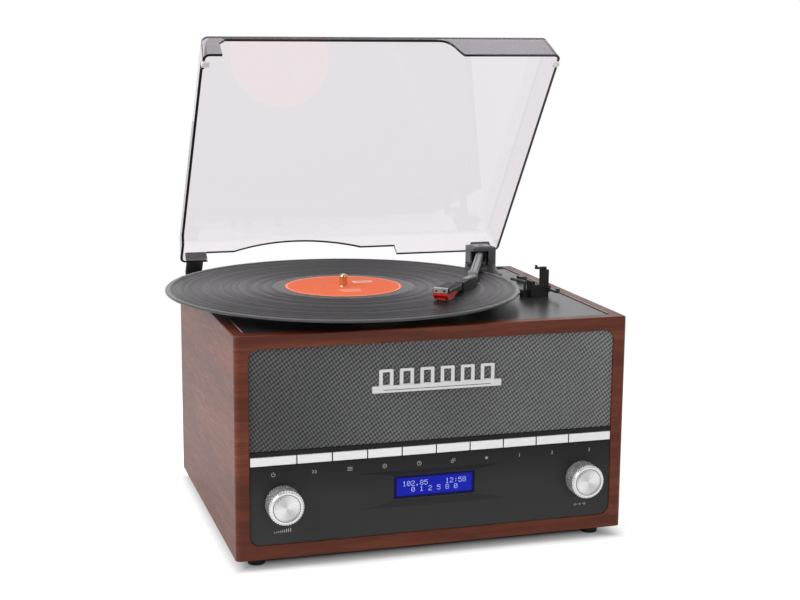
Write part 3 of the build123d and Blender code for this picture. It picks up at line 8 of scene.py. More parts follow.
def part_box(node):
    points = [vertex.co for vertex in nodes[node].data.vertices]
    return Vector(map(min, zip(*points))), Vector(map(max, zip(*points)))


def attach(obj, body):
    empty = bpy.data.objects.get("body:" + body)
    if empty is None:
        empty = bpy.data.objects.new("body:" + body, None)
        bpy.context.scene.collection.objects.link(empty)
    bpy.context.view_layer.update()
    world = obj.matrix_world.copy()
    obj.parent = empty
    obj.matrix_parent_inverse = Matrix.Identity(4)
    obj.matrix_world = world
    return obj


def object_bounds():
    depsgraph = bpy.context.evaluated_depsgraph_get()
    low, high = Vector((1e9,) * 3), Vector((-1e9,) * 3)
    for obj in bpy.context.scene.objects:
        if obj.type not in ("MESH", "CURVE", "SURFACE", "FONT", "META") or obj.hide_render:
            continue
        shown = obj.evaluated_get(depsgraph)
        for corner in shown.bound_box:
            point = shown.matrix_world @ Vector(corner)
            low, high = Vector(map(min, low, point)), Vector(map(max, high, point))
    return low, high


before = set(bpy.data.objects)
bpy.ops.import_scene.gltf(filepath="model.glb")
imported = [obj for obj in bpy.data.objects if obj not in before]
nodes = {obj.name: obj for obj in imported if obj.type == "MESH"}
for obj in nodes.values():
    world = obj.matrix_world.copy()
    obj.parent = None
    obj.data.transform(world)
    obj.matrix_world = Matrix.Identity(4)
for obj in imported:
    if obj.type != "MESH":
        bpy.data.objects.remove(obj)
cad_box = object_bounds()
scene = bpy.context.scene

MM = 0.001

# Lid: hinge line, angle at rest, and top and front wall as they are when closed, in millimetres and degrees
HINGE_Y = 150
HINGE_Z = 150
LID_OPEN = 53
LID_TOP_Z = 208.5
LID_FRONT_Y = -121
LID_WALL = 2.4
LID_BEAM = 5
LID_CUT_LEFT = -138
LID_CUT_RIGHT = 50

# Bands of the lid's painted dark edges, in millimetres: below its top, round its front corner, and past a
# face
LID_TOP_BAND = 3.5
LID_CORNER = 1.6
LID_SLACK = 0.2

# How strongly the lid's plastic takes up light, for each metre
LID_SMOKE = 170

# Tonearm: pivot, reach to the bend and sizes, in millimetres; headings in degrees from the front
PIVOT = (117, 96, 198)
ARM_HEADING = 23.2
SHELL_HEADING = 38.2
ARM_REACH = 136
ARM_DROP = 3.0
TUBE_HALF = 3.0
STRIP_MIDDLE = 67
STRIP_LENGTH = 86
SHELL_START = 46
SHELL_LENGTH = 32
SHELL_WIDTH = 14.5

# Materials


def srgb(r, g, b):
    """Linear colour of an 8-bit screen colour."""

    def lin(v):
        v = v / 255
        return v / 12.92 if v <= 0.04045 else ((v + 0.055) / 1.055) ** 2.4

    return (lin(r), lin(g), lin(b))


class Graph:
    """Short ways to add and join the nodes of a material or of the world."""

    def __init__(self, tree):
        self.tree = tree

    def node(self, kind, **values):
        made = self.tree.nodes.new(kind)
        for key, value in values.items():
            setattr(made, key, value)
        return made

    def link(self, a, b):
        self.tree.links.new(a, b)

    def coords(self, scale=(1, 1, 1), offset=(0, 0, 0)):
        place = self.node("ShaderNodeTexCoord")
        mapping = self.node("ShaderNodeMapping")
        mapping.inputs["Scale"].default_value = scale
        mapping.inputs["Location"].default_value = offset
        self.link(place.outputs["Object"], mapping.inputs["Vector"])
        return mapping.outputs["Vector"]

    def noise(self, vector, scale, detail=4.0, rough=0.5, distort=0.0):
        made = self.node("ShaderNodeTexNoise")
        made.inputs["Scale"].default_value = scale
        made.inputs["Detail"].default_value = detail
        made.inputs["Roughness"].default_value = rough
        made.inputs["Distortion"].default_value = distort
        self.link(vector, made.inputs["Vector"])
        return made.outputs["Fac"]

    def ramp(self, value, stops):
        made = self.node("ShaderNodeValToRGB")
        elements = made.color_ramp.elements
        while len(elements) < len(stops):
            elements.new(0.5)
        for element, (place, colour) in zip(elements, stops):
            element.position = place
            element.color = (*colour, 1)
        self.link(value, made.inputs["Fac"])
        return made.outputs["Color"]

    def math(self, operation, a, b=None, c=None):
        made = self.node("ShaderNodeMath", operation=operation)
        for slot, value in enumerate((a, b, c)):
            if value is None:
                continue
            if isinstance(value, (int, float)):
                made.inputs[slot].default_value = value
            else:
                self.link(value, made.inputs[slot])
        return made.outputs[0]

    def weigh(self, a, share_a, b, share_b):
        """Sum of two values, each times its share."""
        return self.math("ADD", self.math("MULTIPLY", a, share_a), self.math("MULTIPLY", b, share_b))

    def remap(self, value, low, high, to_low, to_high):
        made = self.node("ShaderNodeMapRange")
        for slot, number in ((1, low), (2, high), (3, to_low), (4, to_high)):
            made.inputs[slot].default_value = number
        self.link(value, made.inputs[0])
        return made.outputs[0]

    def mix(self, factor, a, b, blend="MIX"):
        made = self.node("ShaderNodeMix", data_type="RGBA", blend_type=blend)
        for slot, value in ((0, factor), (6, a), (7, b)):
            if isinstance(value, (int, float)):
                made.inputs[slot].default_value = value
            elif isinstance(value, tuple):
                made.inputs[slot].default_value = (*value, 1)
            else:
                self.link(value, made.inputs[slot])
        return made.outputs[2]

    def blend(self, factor, first, second):
        """Shader that goes from the first to the second as the factor goes from 0 to 1."""
        made = self.node("ShaderNodeMixShader")
        for slot, value in enumerate((factor, first, second)):
            self.link(value, made.inputs[slot])
        return made.outputs[0]

    def xyz(self, space="Object"):
        place = self.node("ShaderNodeTexCoord")
        split = self.node("ShaderNodeSeparateXYZ")
        self.link(place.outputs[space], split.inputs[0])
        return split.outputs

    def radius(self, x0, y0, first="X", second="Y"):
        """Distance from a line along the third axis, in metres."""
        out = self.xyz()
        dx = self.math("SUBTRACT", out[first], x0)
        dy = self.math("SUBTRACT", out[second], y0)
        return self.math("SQRT", self.weigh(dx, dx, dy, dy))

    def seen_ray(self, mirrored=1.0):
        """1 where the camera looks, directly or through clear plastic, and a set part in reflections."""
        path = self.node("ShaderNodeLightPath").outputs
        first = self.math("MAXIMUM", path["Is Camera Ray"], path["Is Transmission Ray"])
        return self.math("MAXIMUM", first, self.math("MULTIPLY", path["Is Glossy Ray"], mirrored))


class Look(Graph):
    """Material on the principled shader: extra names are its sockets, with lines for the gaps."""

    def __init__(self, name, base, rough=0.5, metal=0.0, **extra):
        self.mat = bpy.data.materials.new(name)
        self.mat.use_nodes = True
        super().__init__(self.mat.node_tree)
        self.bsdf = self.tree.nodes["Principled BSDF"]
        self.bsdf.inputs["Base Color"].default_value = (*base, 1)
        self.bsdf.inputs["Roughness"].default_value = rough
        self.bsdf.inputs["Metallic"].default_value = metal
        for key, value in extra.items():
            self.bsdf.inputs[key.replace("_", " ")].default_value = value

    def bump(self, height, strength, distance):
        made = self.node("ShaderNodeBump")
        made.inputs["Strength"].default_value = strength
        made.inputs["Distance"].default_value = distance
        self.link(height, made.inputs["Height"])
        self.link(made.outputs["Normal"], self.bsdf.inputs["Normal"])

    def colour(self, value):
        self.link(value, self.bsdf.inputs["Base Color"])

    def roughness(self, value):
        self.link(value, self.bsdf.inputs["Roughness"])

    def brushed_round(self, axis):
        """Fine lines that run round an axis of the object."""
        tangent = self.node("ShaderNodeTangent", direction_type="RADIAL", axis=axis)
        self.link(tangent.outputs[0], self.bsdf.inputs["Tangent"])


def moulded(name, base, rough, grain=0.06, scale=900, level=0.5, spread=0.08):
    """Moulded plastic or paint: faint mottling, fine grain and uneven gloss."""
    look = Look(name, base, rough, Specular_IOR_Level=level)
    spot = look.coords()
    broad = look.noise(spot, 14, 3)
    fine = look.noise(spot, scale, 2)
    light = tuple(min(1, c * 1.18 + 0.002) for c in base)
    dark = tuple(c * 0.86 for c in base)
    look.colour(look.ramp(broad, ((0.3, dark), (0.7, light))))
    look.roughness(look.remap(look.noise(spot, 60, 4), 0.3, 0.7, rough - spread / 2, rough + spread / 2))
    look.bump(fine, grain, 0.00008)
    return look.mat


def metal(name, base, rough, stretch=(1, 60, 60), strength=0.12, aniso=0.0, metallic=1.0):
    """Brushed or plated metal with fine lines along X."""
    look = Look(name, base, rough, metallic, Anisotropic=aniso)
    lines = look.noise(look.coords(stretch), 40, 3, 0.7)
    spots = look.noise(look.coords(), 30, 3)
    dark = tuple(c * 0.88 for c in base)
    look.colour(look.mix(look.remap(lines, 0.3, 0.7, 0, 1), dark, base))
    look.roughness(look.remap(spots, 0.3, 0.7, rough * 0.85, rough * 1.2))
    look.bump(lines, strength, 0.00004)
    return look.mat


def wood_film(name):
    """Reddish walnut film: the grain runs level round the cabinet."""
    look = Look(name, (0.12, 0.05, 0.03), 0.4, Specular_IOR_Level=0.24)
    broad = look.noise(look.coords((0.9, 0.9, 7.0)), 3.2, 5, 0.55, 0.7)
    bands = look.noise(look.coords((1.6, 1.6, 34.0), (3.1, 1.7, 0.4)), 4.0, 6, 0.6, 0.9)
    fibres = look.noise(look.coords((14, 14, 620), (0.3, 0.9, 0.2)), 3.0, 4, 0.65)
    pores = look.noise(look.coords((45, 45, 900), (5.3, 2.9, 1.2)), 2.2, 2, 0.5)
    tone = look.ramp(
        look.weigh(broad, 0.55, bands, 0.45),
        (
            (0.30, srgb(66, 28, 16)),
            (0.45, srgb(94, 42, 25)),
            (0.55, srgb(116, 57, 36)),
            (0.68, srgb(150, 80, 52)),
        ),
    )
    streak = look.remap(fibres, 0.35, 0.62, 0.0, 0.5)
    tone = look.mix(streak, tone, srgb(78, 33, 20))
    dots = look.remap(pores, 0.62, 0.74, 0.0, 0.55)
    look.colour(look.mix(dots, tone, srgb(48, 20, 14)))
    look.roughness(look.remap(fibres, 0.3, 0.7, 0.30, 0.44))
    look.bump(look.math("SUBTRACT", fibres, look.math("MULTIPLY", dots, 0.8)), 0.22, 0.00007)
    return look.mat


def panel_black_painted_reflection(name):
    """Satin black panel, a little paler towards its foot: a painted reflection of the white floor below."""
    look = Look(name, (0.02, 0.02, 0.021), 0.42, Specular_IOR_Level=0.22)
    low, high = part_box("control_panel")
    # Painted reflection: the colour grows paler towards the panel's foot, where the floor would show in its
    # gloss.
    rise = look.remap(look.xyz()["Z"], low.z, high.z, 0, 1)
    foot, middle, top = ((grey, grey, grey) for grey in (0.036, 0.026, 0.008))
    look.colour(look.ramp(rise, ((0.0, foot), (0.5, middle), (0.85, top))))
    look.bump(look.noise(look.coords(), 1600, 2), 0.08, 0.00008)
    return look.mat


def plain_board(name, base):
    """Raw pressed board: fine chips and a dusty surface."""
    look = Look(name, base, 0.85)
    spot = look.coords()
    chips = look.noise(spot, 380, 5, 0.7)
    dark = tuple(c * 0.72 for c in base)
    look.colour(look.ramp(chips, ((0.35, dark), (0.65, base))))
    look.bump(chips, 0.35, 0.0003)
    return look.mat


def woven_with_painted_light(name, dark, pale):
    """Coarse cloth: uneven slanted rows of paler threads over dark ones, with painted light that makes it
    darker to the left and brighter to the right.
    """
    look = Look(name, dark, 0.9, Sheen_Weight=0.1, Specular_IOR_Level=0.2)
    out = look.xyz()
    wander = look.noise(look.coords(), 210, 3)
    drift = look.math("MULTIPLY", look.math("SUBTRACT", wander, 0.5), 1.1)

    def rows(pitch_x, pitch_z):
        along = look.math("MULTIPLY", out["X"], 2 * math.pi / pitch_x)
        up = look.math("MULTIPLY", out["Z"], 2 * math.pi / pitch_z)
        return look.math("SINE", look.math("ADD", look.math("ADD", along, up), drift))

    slant = rows(0.0052, -0.0038)
    cross = rows(0.0027, 0.0048)
    lift = look.weigh(slant, 0.55, cross, 0.45)
    pattern = look.remap(lift, -0.35, 0.85, 0, 1)
    fuzz = look.noise(look.coords(), 1500, 3)
    broad = look.noise(look.coords(), 7, 2)
    tone = look.mix(pattern, dark, pale)
    tone = look.mix(look.remap(fuzz, 0.35, 0.65, 0, 0.35), tone, pale)
    tone = look.mix(look.remap(broad, 0.35, 0.65, 0, 0.3), tone, dark)
    # Painted light: a gradient across X darkens the cloth's left and brightens its right, as lamps would.
    across = look.remap(out["X"], -0.13, 0.15, 0, 1)
    side = look.mix(across, (0.64, 0.64, 0.64), (1.36, 1.36, 1.36))
    look.colour(look.mix(1.0, tone, side, "MULTIPLY"))
    look.bump(look.math("ADD", lift, look.math("MULTIPLY", fuzz, 0.6)), 0.7, 0.0004)
    return look.mat


def record_vinyl(name, centre):
    """Pressed record: grooved bands, smooth gaps between the tracks, a smooth run-out and a pale rim, its
    paleness a painted highlight.
    """
    grooves_from = 0.0605
    grooves_to = 0.1462
    painted_highlight_from = 0.1466
    track_gaps = (0.0748, 0.0893, 0.1046, 0.1180, 0.1329)
    gap_half = 0.0003
    look = Look(
        name,
        (0.010, 0.010, 0.011),
        0.3,
        Anisotropic=0.85,
        Anisotropic_Rotation=0.25,
        Specular_IOR_Level=0.12,
    )
    look.brushed_round("Z")
    r = look.radius(*centre)
    track = look.node("ShaderNodeTexNoise", noise_dimensions="1D")
    track.inputs["Scale"].default_value = 190
    track.inputs["Detail"].default_value = 4
    look.link(r, track.inputs["W"])
    bands = look.remap(track.outputs["Fac"], 0.35, 0.65, 0, 1)
    beyond = look.math("GREATER_THAN", r, grooves_from)
    inside = look.math("MULTIPLY", beyond, look.math("LESS_THAN", r, grooves_to))
    gap_rings = look.math("COMPARE", r, track_gaps[0], gap_half)
    for place in track_gaps[1:]:
        gap_rings = look.math("MAXIMUM", gap_rings, look.math("COMPARE", r, place, gap_half))
    grooved = look.math("MULTIPLY", inside, look.math("SUBTRACT", 1.0, gap_rings))
    tone = look.mix(bands, (0.008, 0.008, 0.009), (0.017, 0.017, 0.018))
    tone = look.mix(grooved, (0.012, 0.012, 0.013), tone)
    # Painted highlight: past this radius the rim is paler than the rest of the vinyl.
    rim = look.math("GREATER_THAN", r, painted_highlight_from)
    look.colour(look.mix(rim, tone, (0.075, 0.075, 0.077)))
    rougher = look.math("MULTIPLY", grooved, look.remap(bands, 0, 1, 0.08, 0.18))
    look.roughness(look.math("ADD", 0.2, rougher))
    return look.mat


def paper_label(name, centre):
    """Orange label: paper fibre, a fine pale ring, a pressed step near the hole."""
    ring_r = 0.0483
    step_r = 0.0175
    look = Look(name, srgb(222, 102, 62), 0.6, Specular_IOR_Level=0.25)
    r = look.radius(*centre)
    ring = look.math("COMPARE", r, ring_r, 0.00035)
    step = look.math("COMPARE", r, step_r, 0.0004)
    fibre = look.noise(look.coords(), 700, 4)
    tone = look.ramp(fibre, ((0.3, srgb(226, 98, 54)), (0.7, srgb(238, 114, 70))))
    tone = look.mix(look.math("MULTIPLY", ring, 0.9), tone, srgb(248, 214, 196))
    tone = look.mix(look.math("MULTIPLY", step, 0.5), tone, srgb(176, 70, 40))
    look.colour(tone)
    look.bump(look.math("ADD", fibre, look.math("MULTIPLY", step, -2)), 0.25, 0.00008)
    return look.mat


def spun(name, base, centre, reach):
    """Turned metal: a ringed face, a painted fan of highlight and shade on its inner disc, and painted shade
    for a fine groove round that disc.
    """
    ring_pitch = 0.00035
    groove_half = 0.00035
    disc_share = 0.76
    groove_share = 0.77
    look = Look(name, base, 0.27, 0.85, Anisotropic=0.8, Anisotropic_Rotation=0.25)
    look.brushed_round("Y")
    r = look.radius(centre[0], centre[1], "X", "Z")
    fine = look.math("SINE", look.math("MULTIPLY", r, 2 * math.pi / ring_pitch))
    wander = look.noise(look.coords(), 120, 3)
    spot = look.xyz()
    up = look.math("SUBTRACT", spot["Z"], centre[1])
    across = look.math("SUBTRACT", spot["X"], centre[0])
    # Painted highlight: lighter and darker sectors by angle on the inner disc.
    turn = look.math("ARCTAN2", up, across)
    painted_fan_highlight = look.math("SINE", look.math("MULTIPLY", look.math("ADD", turn, 0.25), 2.0))
    painted_fan_highlight = look.remap(painted_fan_highlight, -0.9, 0.9, 0, 1)
    dark = tuple(c * 0.93 for c in base)
    pale = look.mix(look.remap(wander, 0.3, 0.7, 0, 1), dark, base)
    disc_with_painted_fan = look.mix(painted_fan_highlight, tuple(c * 0.68 for c in base), tuple(c * 0.98 for c in base))
    tone = look.mix(look.math("LESS_THAN", r, reach * disc_share), pale, disc_with_painted_fan)
    # Painted shade: a dark ring where a fine groove would be.
    painted_groove_shade = look.math("COMPARE", r, reach * groove_share, groove_half)
    look.colour(look.mix(painted_groove_shade, tone, tuple(c * 0.25 for c in base)))
    look.roughness(look.remap(wander, 0.3, 0.7, 0.24, 0.32))
    look.bump(fine, 0.1, 0.00003)
    return look.mat


def smoke_clear(name):
    """Smoke-tinted clear plastic with painted shade: near black along its rim and edges, which are found as
    on a closed lid, and darker on its front wall.
    """
    look = Look(name, (1, 1, 1), 0.0, IOR=1.45, Transmission_Weight=1.0)
    out = look.tree.nodes["Material Output"]
    absorb = look.node("ShaderNodeVolumeAbsorption")
    absorb.inputs["Color"].default_value = (0.62, 0.52, 0.60, 1)
    absorb.inputs["Density"].default_value = LID_SMOKE
    look.link(absorb.outputs[0], out.inputs["Volume"])
    place = look.xyz()
    turn = math.radians(LID_OPEN)
    back = look.math("SUBTRACT", place["Y"], HINGE_Y * MM)
    rise = look.math("SUBTRACT", place["Z"], HINGE_Z * MM)
    closed_y = look.weigh(back, math.cos(turn), rise, -math.sin(turn))
    closed_z = look.weigh(back, math.sin(turn), rise, math.cos(turn))
    facing = look.xyz("Normal")
    facing_up = look.weigh(facing["Y"], math.sin(turn), facing["Z"], math.cos(turn))
    top = LID_TOP_Z - HINGE_Z
    below_top = look.math("LESS_THAN", closed_z, (top - LID_TOP_BAND) * MM)
    rim = look.math("MULTIPLY", look.math("LESS_THAN", facing_up, -0.6), below_top)
    front = look.math("LESS_THAN", closed_y, (LID_FRONT_Y - HINGE_Y + LID_WALL + LID_SLACK) * MM)
    corner = look.math("GREATER_THAN", closed_z, (top - LID_CORNER) * MM)
    beam = look.math("GREATER_THAN", closed_z, (top - LID_BEAM - LID_SLACK) * MM)
    beam = look.math("MULTIPLY", beam, look.math("GREATER_THAN", place["X"], LID_CUT_LEFT * MM))
    beam = look.math("MULTIPLY", beam, look.math("LESS_THAN", place["X"], LID_CUT_RIGHT * MM))
    # Painted shade: near-black bands on the walls' downward faces and along the top of the front wall, deeper
    # between the cut-out's ends.
    edge = look.math("MAXIMUM", rim, look.math("MULTIPLY", front, look.math("MAXIMUM", corner, beam)))
    # Painted shade: the front wall is tinted darker than the rest of the lid.
    look.colour(look.mix(front, (1.0, 1.0, 1.0), (0.19, 0.17, 0.20)))
    dark = look.node("ShaderNodeBsdfPrincipled")
    dark.inputs["Base Color"].default_value = (0.020, 0.017, 0.020, 1)
    dark.inputs["Roughness"].default_value = 0.18
    with_painted_shade = look.blend(edge, look.bsdf.outputs[0], dark.outputs[0])
    shadow = look.node("ShaderNodeLightPath").outputs["Is Shadow Ray"]
    clear = look.node("ShaderNodeBsdfTransparent")
    clear.inputs["Color"].default_value = (0.82, 0.79, 0.82, 1)
    look.link(look.blend(shadow, with_painted_shade, clear.outputs[0]), out.inputs["Surface"])
    smears = look.noise(look.coords(), 7, 3)
    look.roughness(look.remap(smears, 0.4, 0.7, 0.01, 0.03))
    return look.mat


def lit_blue(name):
    """Backlit blue display with a darker border."""
    border_side = 0.0022
    border_end = 0.0018
    look = Look(name, srgb(14, 20, 120), 0.3, Specular_IOR_Level=0.12)
    out = look.xyz()
    low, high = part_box("display_window")
    half = (high.x - low.x) / 2
    mid_z = (high.z + low.z) / 2
    tall = (high.z - low.z) / 2
    side = look.math("GREATER_THAN", look.math("ABSOLUTE", out["X"]), half - border_side)
    away = look.math("ABSOLUTE", look.math("SUBTRACT", out["Z"], mid_z))
    border = look.math("MAXIMUM", side, look.math("GREATER_THAN", away, tall - border_end))
    glow = look.noise(look.coords(), 22, 2)
    tone = look.mix(glow, srgb(14, 22, 150), srgb(20, 32, 172))
    tone = look.mix(look.math("MULTIPLY", border, 0.95), tone, srgb(4, 5, 60))
    look.colour(tone)
    look.link(tone, look.bsdf.inputs["Emission Color"])
    look.bsdf.inputs["Emission Strength"].default_value = 0.28
    return look.mat


def glowing(name, colour, strength):
    """Lit dots with faint bluish specks."""
    look = Look(name, colour, 0.4, Emission_Strength=strength)
    look.bsdf.inputs["Emission Color"].default_value = (*colour, 1)
    speck = look.noise(look.coords(), 900, 2)
    look.colour(look.mix(look.remap(speck, 0.3, 0.7, 0, 0.25), colour, srgb(190, 205, 255)))
    return look.mat


def at(v):
    return (v.x, v.y)


def centre_of(node):
    """Middle of a node's box, in metres."""
    low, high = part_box(node)
    return (low + high) / 2


record_c = centre_of("record")
left_knob_c = centre_of("volume_knob")
right_knob_c = centre_of("tuning_knob")
KNOB_R = (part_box("volume_knob")[1].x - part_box("volume_knob")[0].x) / 2

WOOD = wood_film("walnut_film")
BLACK_DECK = moulded("deck_black", (0.028, 0.028, 0.029), 0.30, 0.04, 1400, level=0.7, spread=0.02)
PANEL_PAINTED_REFLECTION = panel_black_painted_reflection("panel_black_painted_reflection")
BLACK_PLATE = moulded("plate_black", (0.020, 0.020, 0.021), 0.42, 0.10, 1600, level=0.35)
BLACK_GLOSS = moulded("gloss_black", (0.030, 0.030, 0.032), 0.28, 0.05, 900)
GREY_ARM = moulded("arm_grey", (0.062, 0.063, 0.065), 0.32, 0.06, 900)
BLACK_ARM = moulded("arm_black", (0.010, 0.010, 0.010), 0.42, 0.06, 900, level=0.3)
GREY_PALE = moulded("arm_grey_pale", (0.22, 0.22, 0.225), 0.30, 0.05, 900)
RUBBER = moulded("rubber_black", (0.020, 0.020, 0.020), 0.75, 0.3, 1500)
STEEL_BLACK = moulded("black_steel", (0.022, 0.022, 0.022), 0.4, 0.15, 700)
CLOTH_PAINTED_LIGHT = woven_with_painted_light("grille_weave_painted_light", srgb(56, 56, 57), srgb(142, 143, 144))
VINYL = record_vinyl("vinyl", at(record_c))
LABEL = paper_label("orange_label", at(record_c))
KEY = metal(
    "brushed_key", srgb(246, 246, 246), 0.36, stretch=(1.5, 80, 80), strength=0.15, aniso=0.3, metallic=0.6
)
KNOB_LEFT = spun("spun_knob_left", srgb(238, 238, 239), (left_knob_c.x, left_knob_c.z), KNOB_R)
KNOB_RIGHT = spun("spun_knob_right", srgb(238, 238, 239), (right_knob_c.x, right_knob_c.z), KNOB_R)
CHROME = metal("plated", srgb(222, 220, 214), 0.14, strength=0.03)
GOLD = metal("plated_warm", srgb(222, 190, 140), 0.16, strength=0.03)
STEEL = metal("plain_steel", srgb(168, 168, 170), 0.32)
BRASS = metal("brass", srgb(196, 158, 92), 0.3)
LID = smoke_clear("smoke_clear")
BLUE = lit_blue("blue_display")
WHITE_DOT = glowing("display_dots", srgb(176, 190, 232), 0.35)
BOARD = plain_board("plain_board", srgb(164, 138, 104))
BLACK_BOARD = plain_board("black_board", srgb(42, 40, 38))
GREEN = moulded("circuit_green", srgb(28, 92, 50), 0.35, 0.1, 400)
RED = moulded("stylus_red", srgb(206, 34, 24), 0.25, 0.03)
WHITE_PAD = moulded("pale_pad", srgb(232, 232, 230), 0.5, 0.05)
PRINT = moulded("pale_print", srgb(168, 168, 168), 0.5, 0.02)
GREY_LIGHT = moulded("arm_grey_light", (0.16, 0.16, 0.165), 0.28, 0.05, 900)
WHITE_PRINT = moulded("label_print", srgb(244, 206, 186), 0.5, 0.02)
LABEL_INK = moulded("label_ink", srgb(120, 52, 34), 0.5, 0.02)
PAPER_BLACK = plain_board("cone_paper", srgb(40, 38, 37))
FELT = moulded("felt_black", (0.014, 0.014, 0.014), 0.95, 0.9, 2600)
SILVER = metal("silver_emblem", srgb(226, 226, 226), 0.3, strength=0.08, metallic=0.6)

# Finish of each node; the ten keys aren't named here and get the keys' metal
FINISH = {
    "cabinet_wrap": WOOD,
    "bottom_board": BOARD,
    "back_board": BLACK_BOARD,
    "deck_cleats": BOARD,
    "deck_plate": BLACK_DECK,
    "baffle_board": BLACK_BOARD,
    "grille_cloth": CLOTH_PAINTED_LIGHT,
    "control_panel": PANEL_PAINTED_REFLECTION,
    "display_window": BLUE,
    "display_module": BLACK_GLOSS,
    "emblem_bar": SILVER,
    "feet": RUBBER,
    "speaker_drivers": STEEL_BLACK,
    "speaker_cones": PAPER_BLACK,
    "main_board": GREEN,
    "key_board": GREEN,
    "volume_control": STEEL,
    "tuning_encoder": STEEL,
    "platter_motor": STEEL,
    "spindle_bearing": BRASS,
    "drive_belt": RUBBER,
    "tonearm_base": BLACK_GLOSS,
    "tonearm_housing": GREY_ARM,
    "arm_rest": BLACK_ARM,
    "hinge_brackets": STEEL_BLACK,
    "hinge_pins": STEEL,
    "socket_plate": BLACK_PLATE,
    "rear_sockets": BLACK_GLOSS,
    "platter": BLACK_GLOSS,
    "slip_mat": FELT,
    "record": VINYL,
    "record_label": LABEL,
    "spindle": GOLD,
    "motor_pulley": BRASS,
    "tonearm_yoke": GREY_ARM,
    "tonearm_tube": GREY_ARM,
    "headshell": BLACK_ARM,
    "cartridge": BLACK_ARM,
    "stylus": RED,
    "arm_lock": BLACK_ARM,
    "cue_lever": BLACK_GLOSS,
    "lifter_bar": BLACK_GLOSS,
    "speed_switch": BLACK_GLOSS,
    "lid": LID,
    "hinge_leaves": STEEL_BLACK,
    "lid_bumpers": WHITE_PAD,
    "volume_knob": KNOB_LEFT,
    "tuning_knob": KNOB_RIGHT,
    "volume_shaft": STEEL,
    "tuning_plunger": STEEL,
}
for title, node in nodes.items():
    node.data.materials.clear()
    node.data.materials.append(FINISH.get(title, KEY))

# Camera


def set_camera():
    """Camera where the photograph was taken from, worked out from the cabinet's and lid's corners."""
    turn = math.radians(-17.008)
    tilt = math.radians(10.565)
    roll = math.radians(0.474)
    distance = 1321.8
    aim = Vector((0, 9, 101))
    slide_right = 11.33
    slide_up = 71.39
    focal_px = 1502.8
    photo_px = 800
    sensor_mm = 36
    back = Vector((math.sin(turn) * math.cos(tilt), -math.cos(turn) * math.cos(tilt), math.sin(tilt)))
    right = Vector((math.cos(turn), math.sin(turn), 0))
    up = back.cross(right)
    right_r = right * math.cos(roll) + up * math.sin(roll)
    up_r = -right * math.sin(roll) + up * math.cos(roll)
    place = aim + back * distance + right_r * slide_right + up_r * slide_up
    cam = bpy.data.objects.new("camera", bpy.data.cameras.new("camera"))
    scene.collection.objects.link(cam)
    rows = Matrix((right_r, up_r, back)).transposed().to_4x4()
    rows.translation = place * MM
    cam.matrix_world = rows
    cam.data.sensor_width = sensor_mm
    cam.data.lens = focal_px * sensor_mm / photo_px
    scene.camera = cam


set_camera()

# Floor, light and background


def white_floor():
    """White floor that fades into the background, with a painted contact shadow under the cabinet and just
    past its edges.
    """
    size = 6.0
    mirrored = 0.3
    white = (0.8, 0.8, 0.8)
    painted_shadow_colour = (0.05, 0.05, 0.05)
    painted_shadow_in, painted_shadow_out = -0.022, 0.010
    fade_from, fade_to = 0.26, 0.62
    glow_open = 0.62
    glow_lost_in_painted_shadow = 0.61
    level = cad_box[0][2]
    mesh = bpy.data.meshes.new("floor")
    mesh.from_pydata(
        [(-size, -size, level), (size, -size, level), (size, size, level), (-size, size, level)],
        [],
        [(0, 1, 2, 3)],
    )
    floor = bpy.data.objects.new("floor", mesh)
    scene.collection.objects.link(floor)
    look = Look("floor_white", white, 0.9, Specular_IOR_Level=0.0)
    seen = look.seen_ray(mirrored)
    spot = look.xyz()
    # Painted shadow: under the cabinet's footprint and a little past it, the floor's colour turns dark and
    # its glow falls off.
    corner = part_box("cabinet_wrap")[1]
    beside = look.math("SUBTRACT", look.math("ABSOLUTE", spot["X"]), corner.x)
    ahead = look.math("SUBTRACT", look.math("ABSOLUTE", spot["Y"]), corner.y)
    under = look.remap(look.math("MAXIMUM", beside, ahead), painted_shadow_in, painted_shadow_out, 1, 0)
    look.colour(look.mix(under, white, painted_shadow_colour))
    glow_with_painted_shadow = look.math("SUBTRACT", glow_open, look.math("MULTIPLY", under, glow_lost_in_painted_shadow))
    glow = look.node("ShaderNodeEmission")
    look.link(look.math("MULTIPLY", seen, glow_with_painted_shadow), glow.inputs["Strength"])
    near = look.node("ShaderNodeAddShader")
    look.link(look.bsdf.outputs[0], near.inputs[0])
    look.link(glow.outputs[0], near.inputs[1])
    far = look.node("ShaderNodeEmission")
    fade = look.math("MULTIPLY", look.remap(look.radius(0, 0.02), fade_from, fade_to, 0, 1), seen)
    shown = look.blend(fade, near.outputs[0], far.outputs[0])
    look.link(shown, look.tree.nodes["Material Output"].inputs["Surface"])
    mesh.materials.append(look.mat)


def studio_world():
    """Even soft light: the camera sees white, and reflections are darker ahead of the object and above it."""
    soft_light = 0.38
    world = bpy.data.worlds.new("studio")
    scene.world = world
    world.use_nodes = True
    sky = Graph(world.node_tree)
    sky.tree.nodes.clear()
    light = sky.node("ShaderNodeBackground")
    white = sky.node("ShaderNodeBackground")
    for background in (light, white):
        background.inputs["Color"].default_value = (1, 1, 1, 1)
    light.inputs["Strength"].default_value = soft_light
    way = sky.xyz("Generated")
    above = sky.remap(way["Z"], 0.3, 0.9, 1.0, 0.35)
    ahead = sky.remap(way["Y"], -0.75, -0.05, 0.22, 1.0)
    camera_ray = sky.node("ShaderNodeLightPath").outputs["Is Camera Ray"]
    shown = sky.math("MAXIMUM", sky.math("MULTIPLY", above, ahead), camera_ray)
    sky.link(shown, white.inputs["Strength"])
    out = sky.node("ShaderNodeOutputWorld")
    sky.link(sky.blend(sky.seen_ray(), light.outputs[0], white.outputs[0]), out.inputs["Surface"])


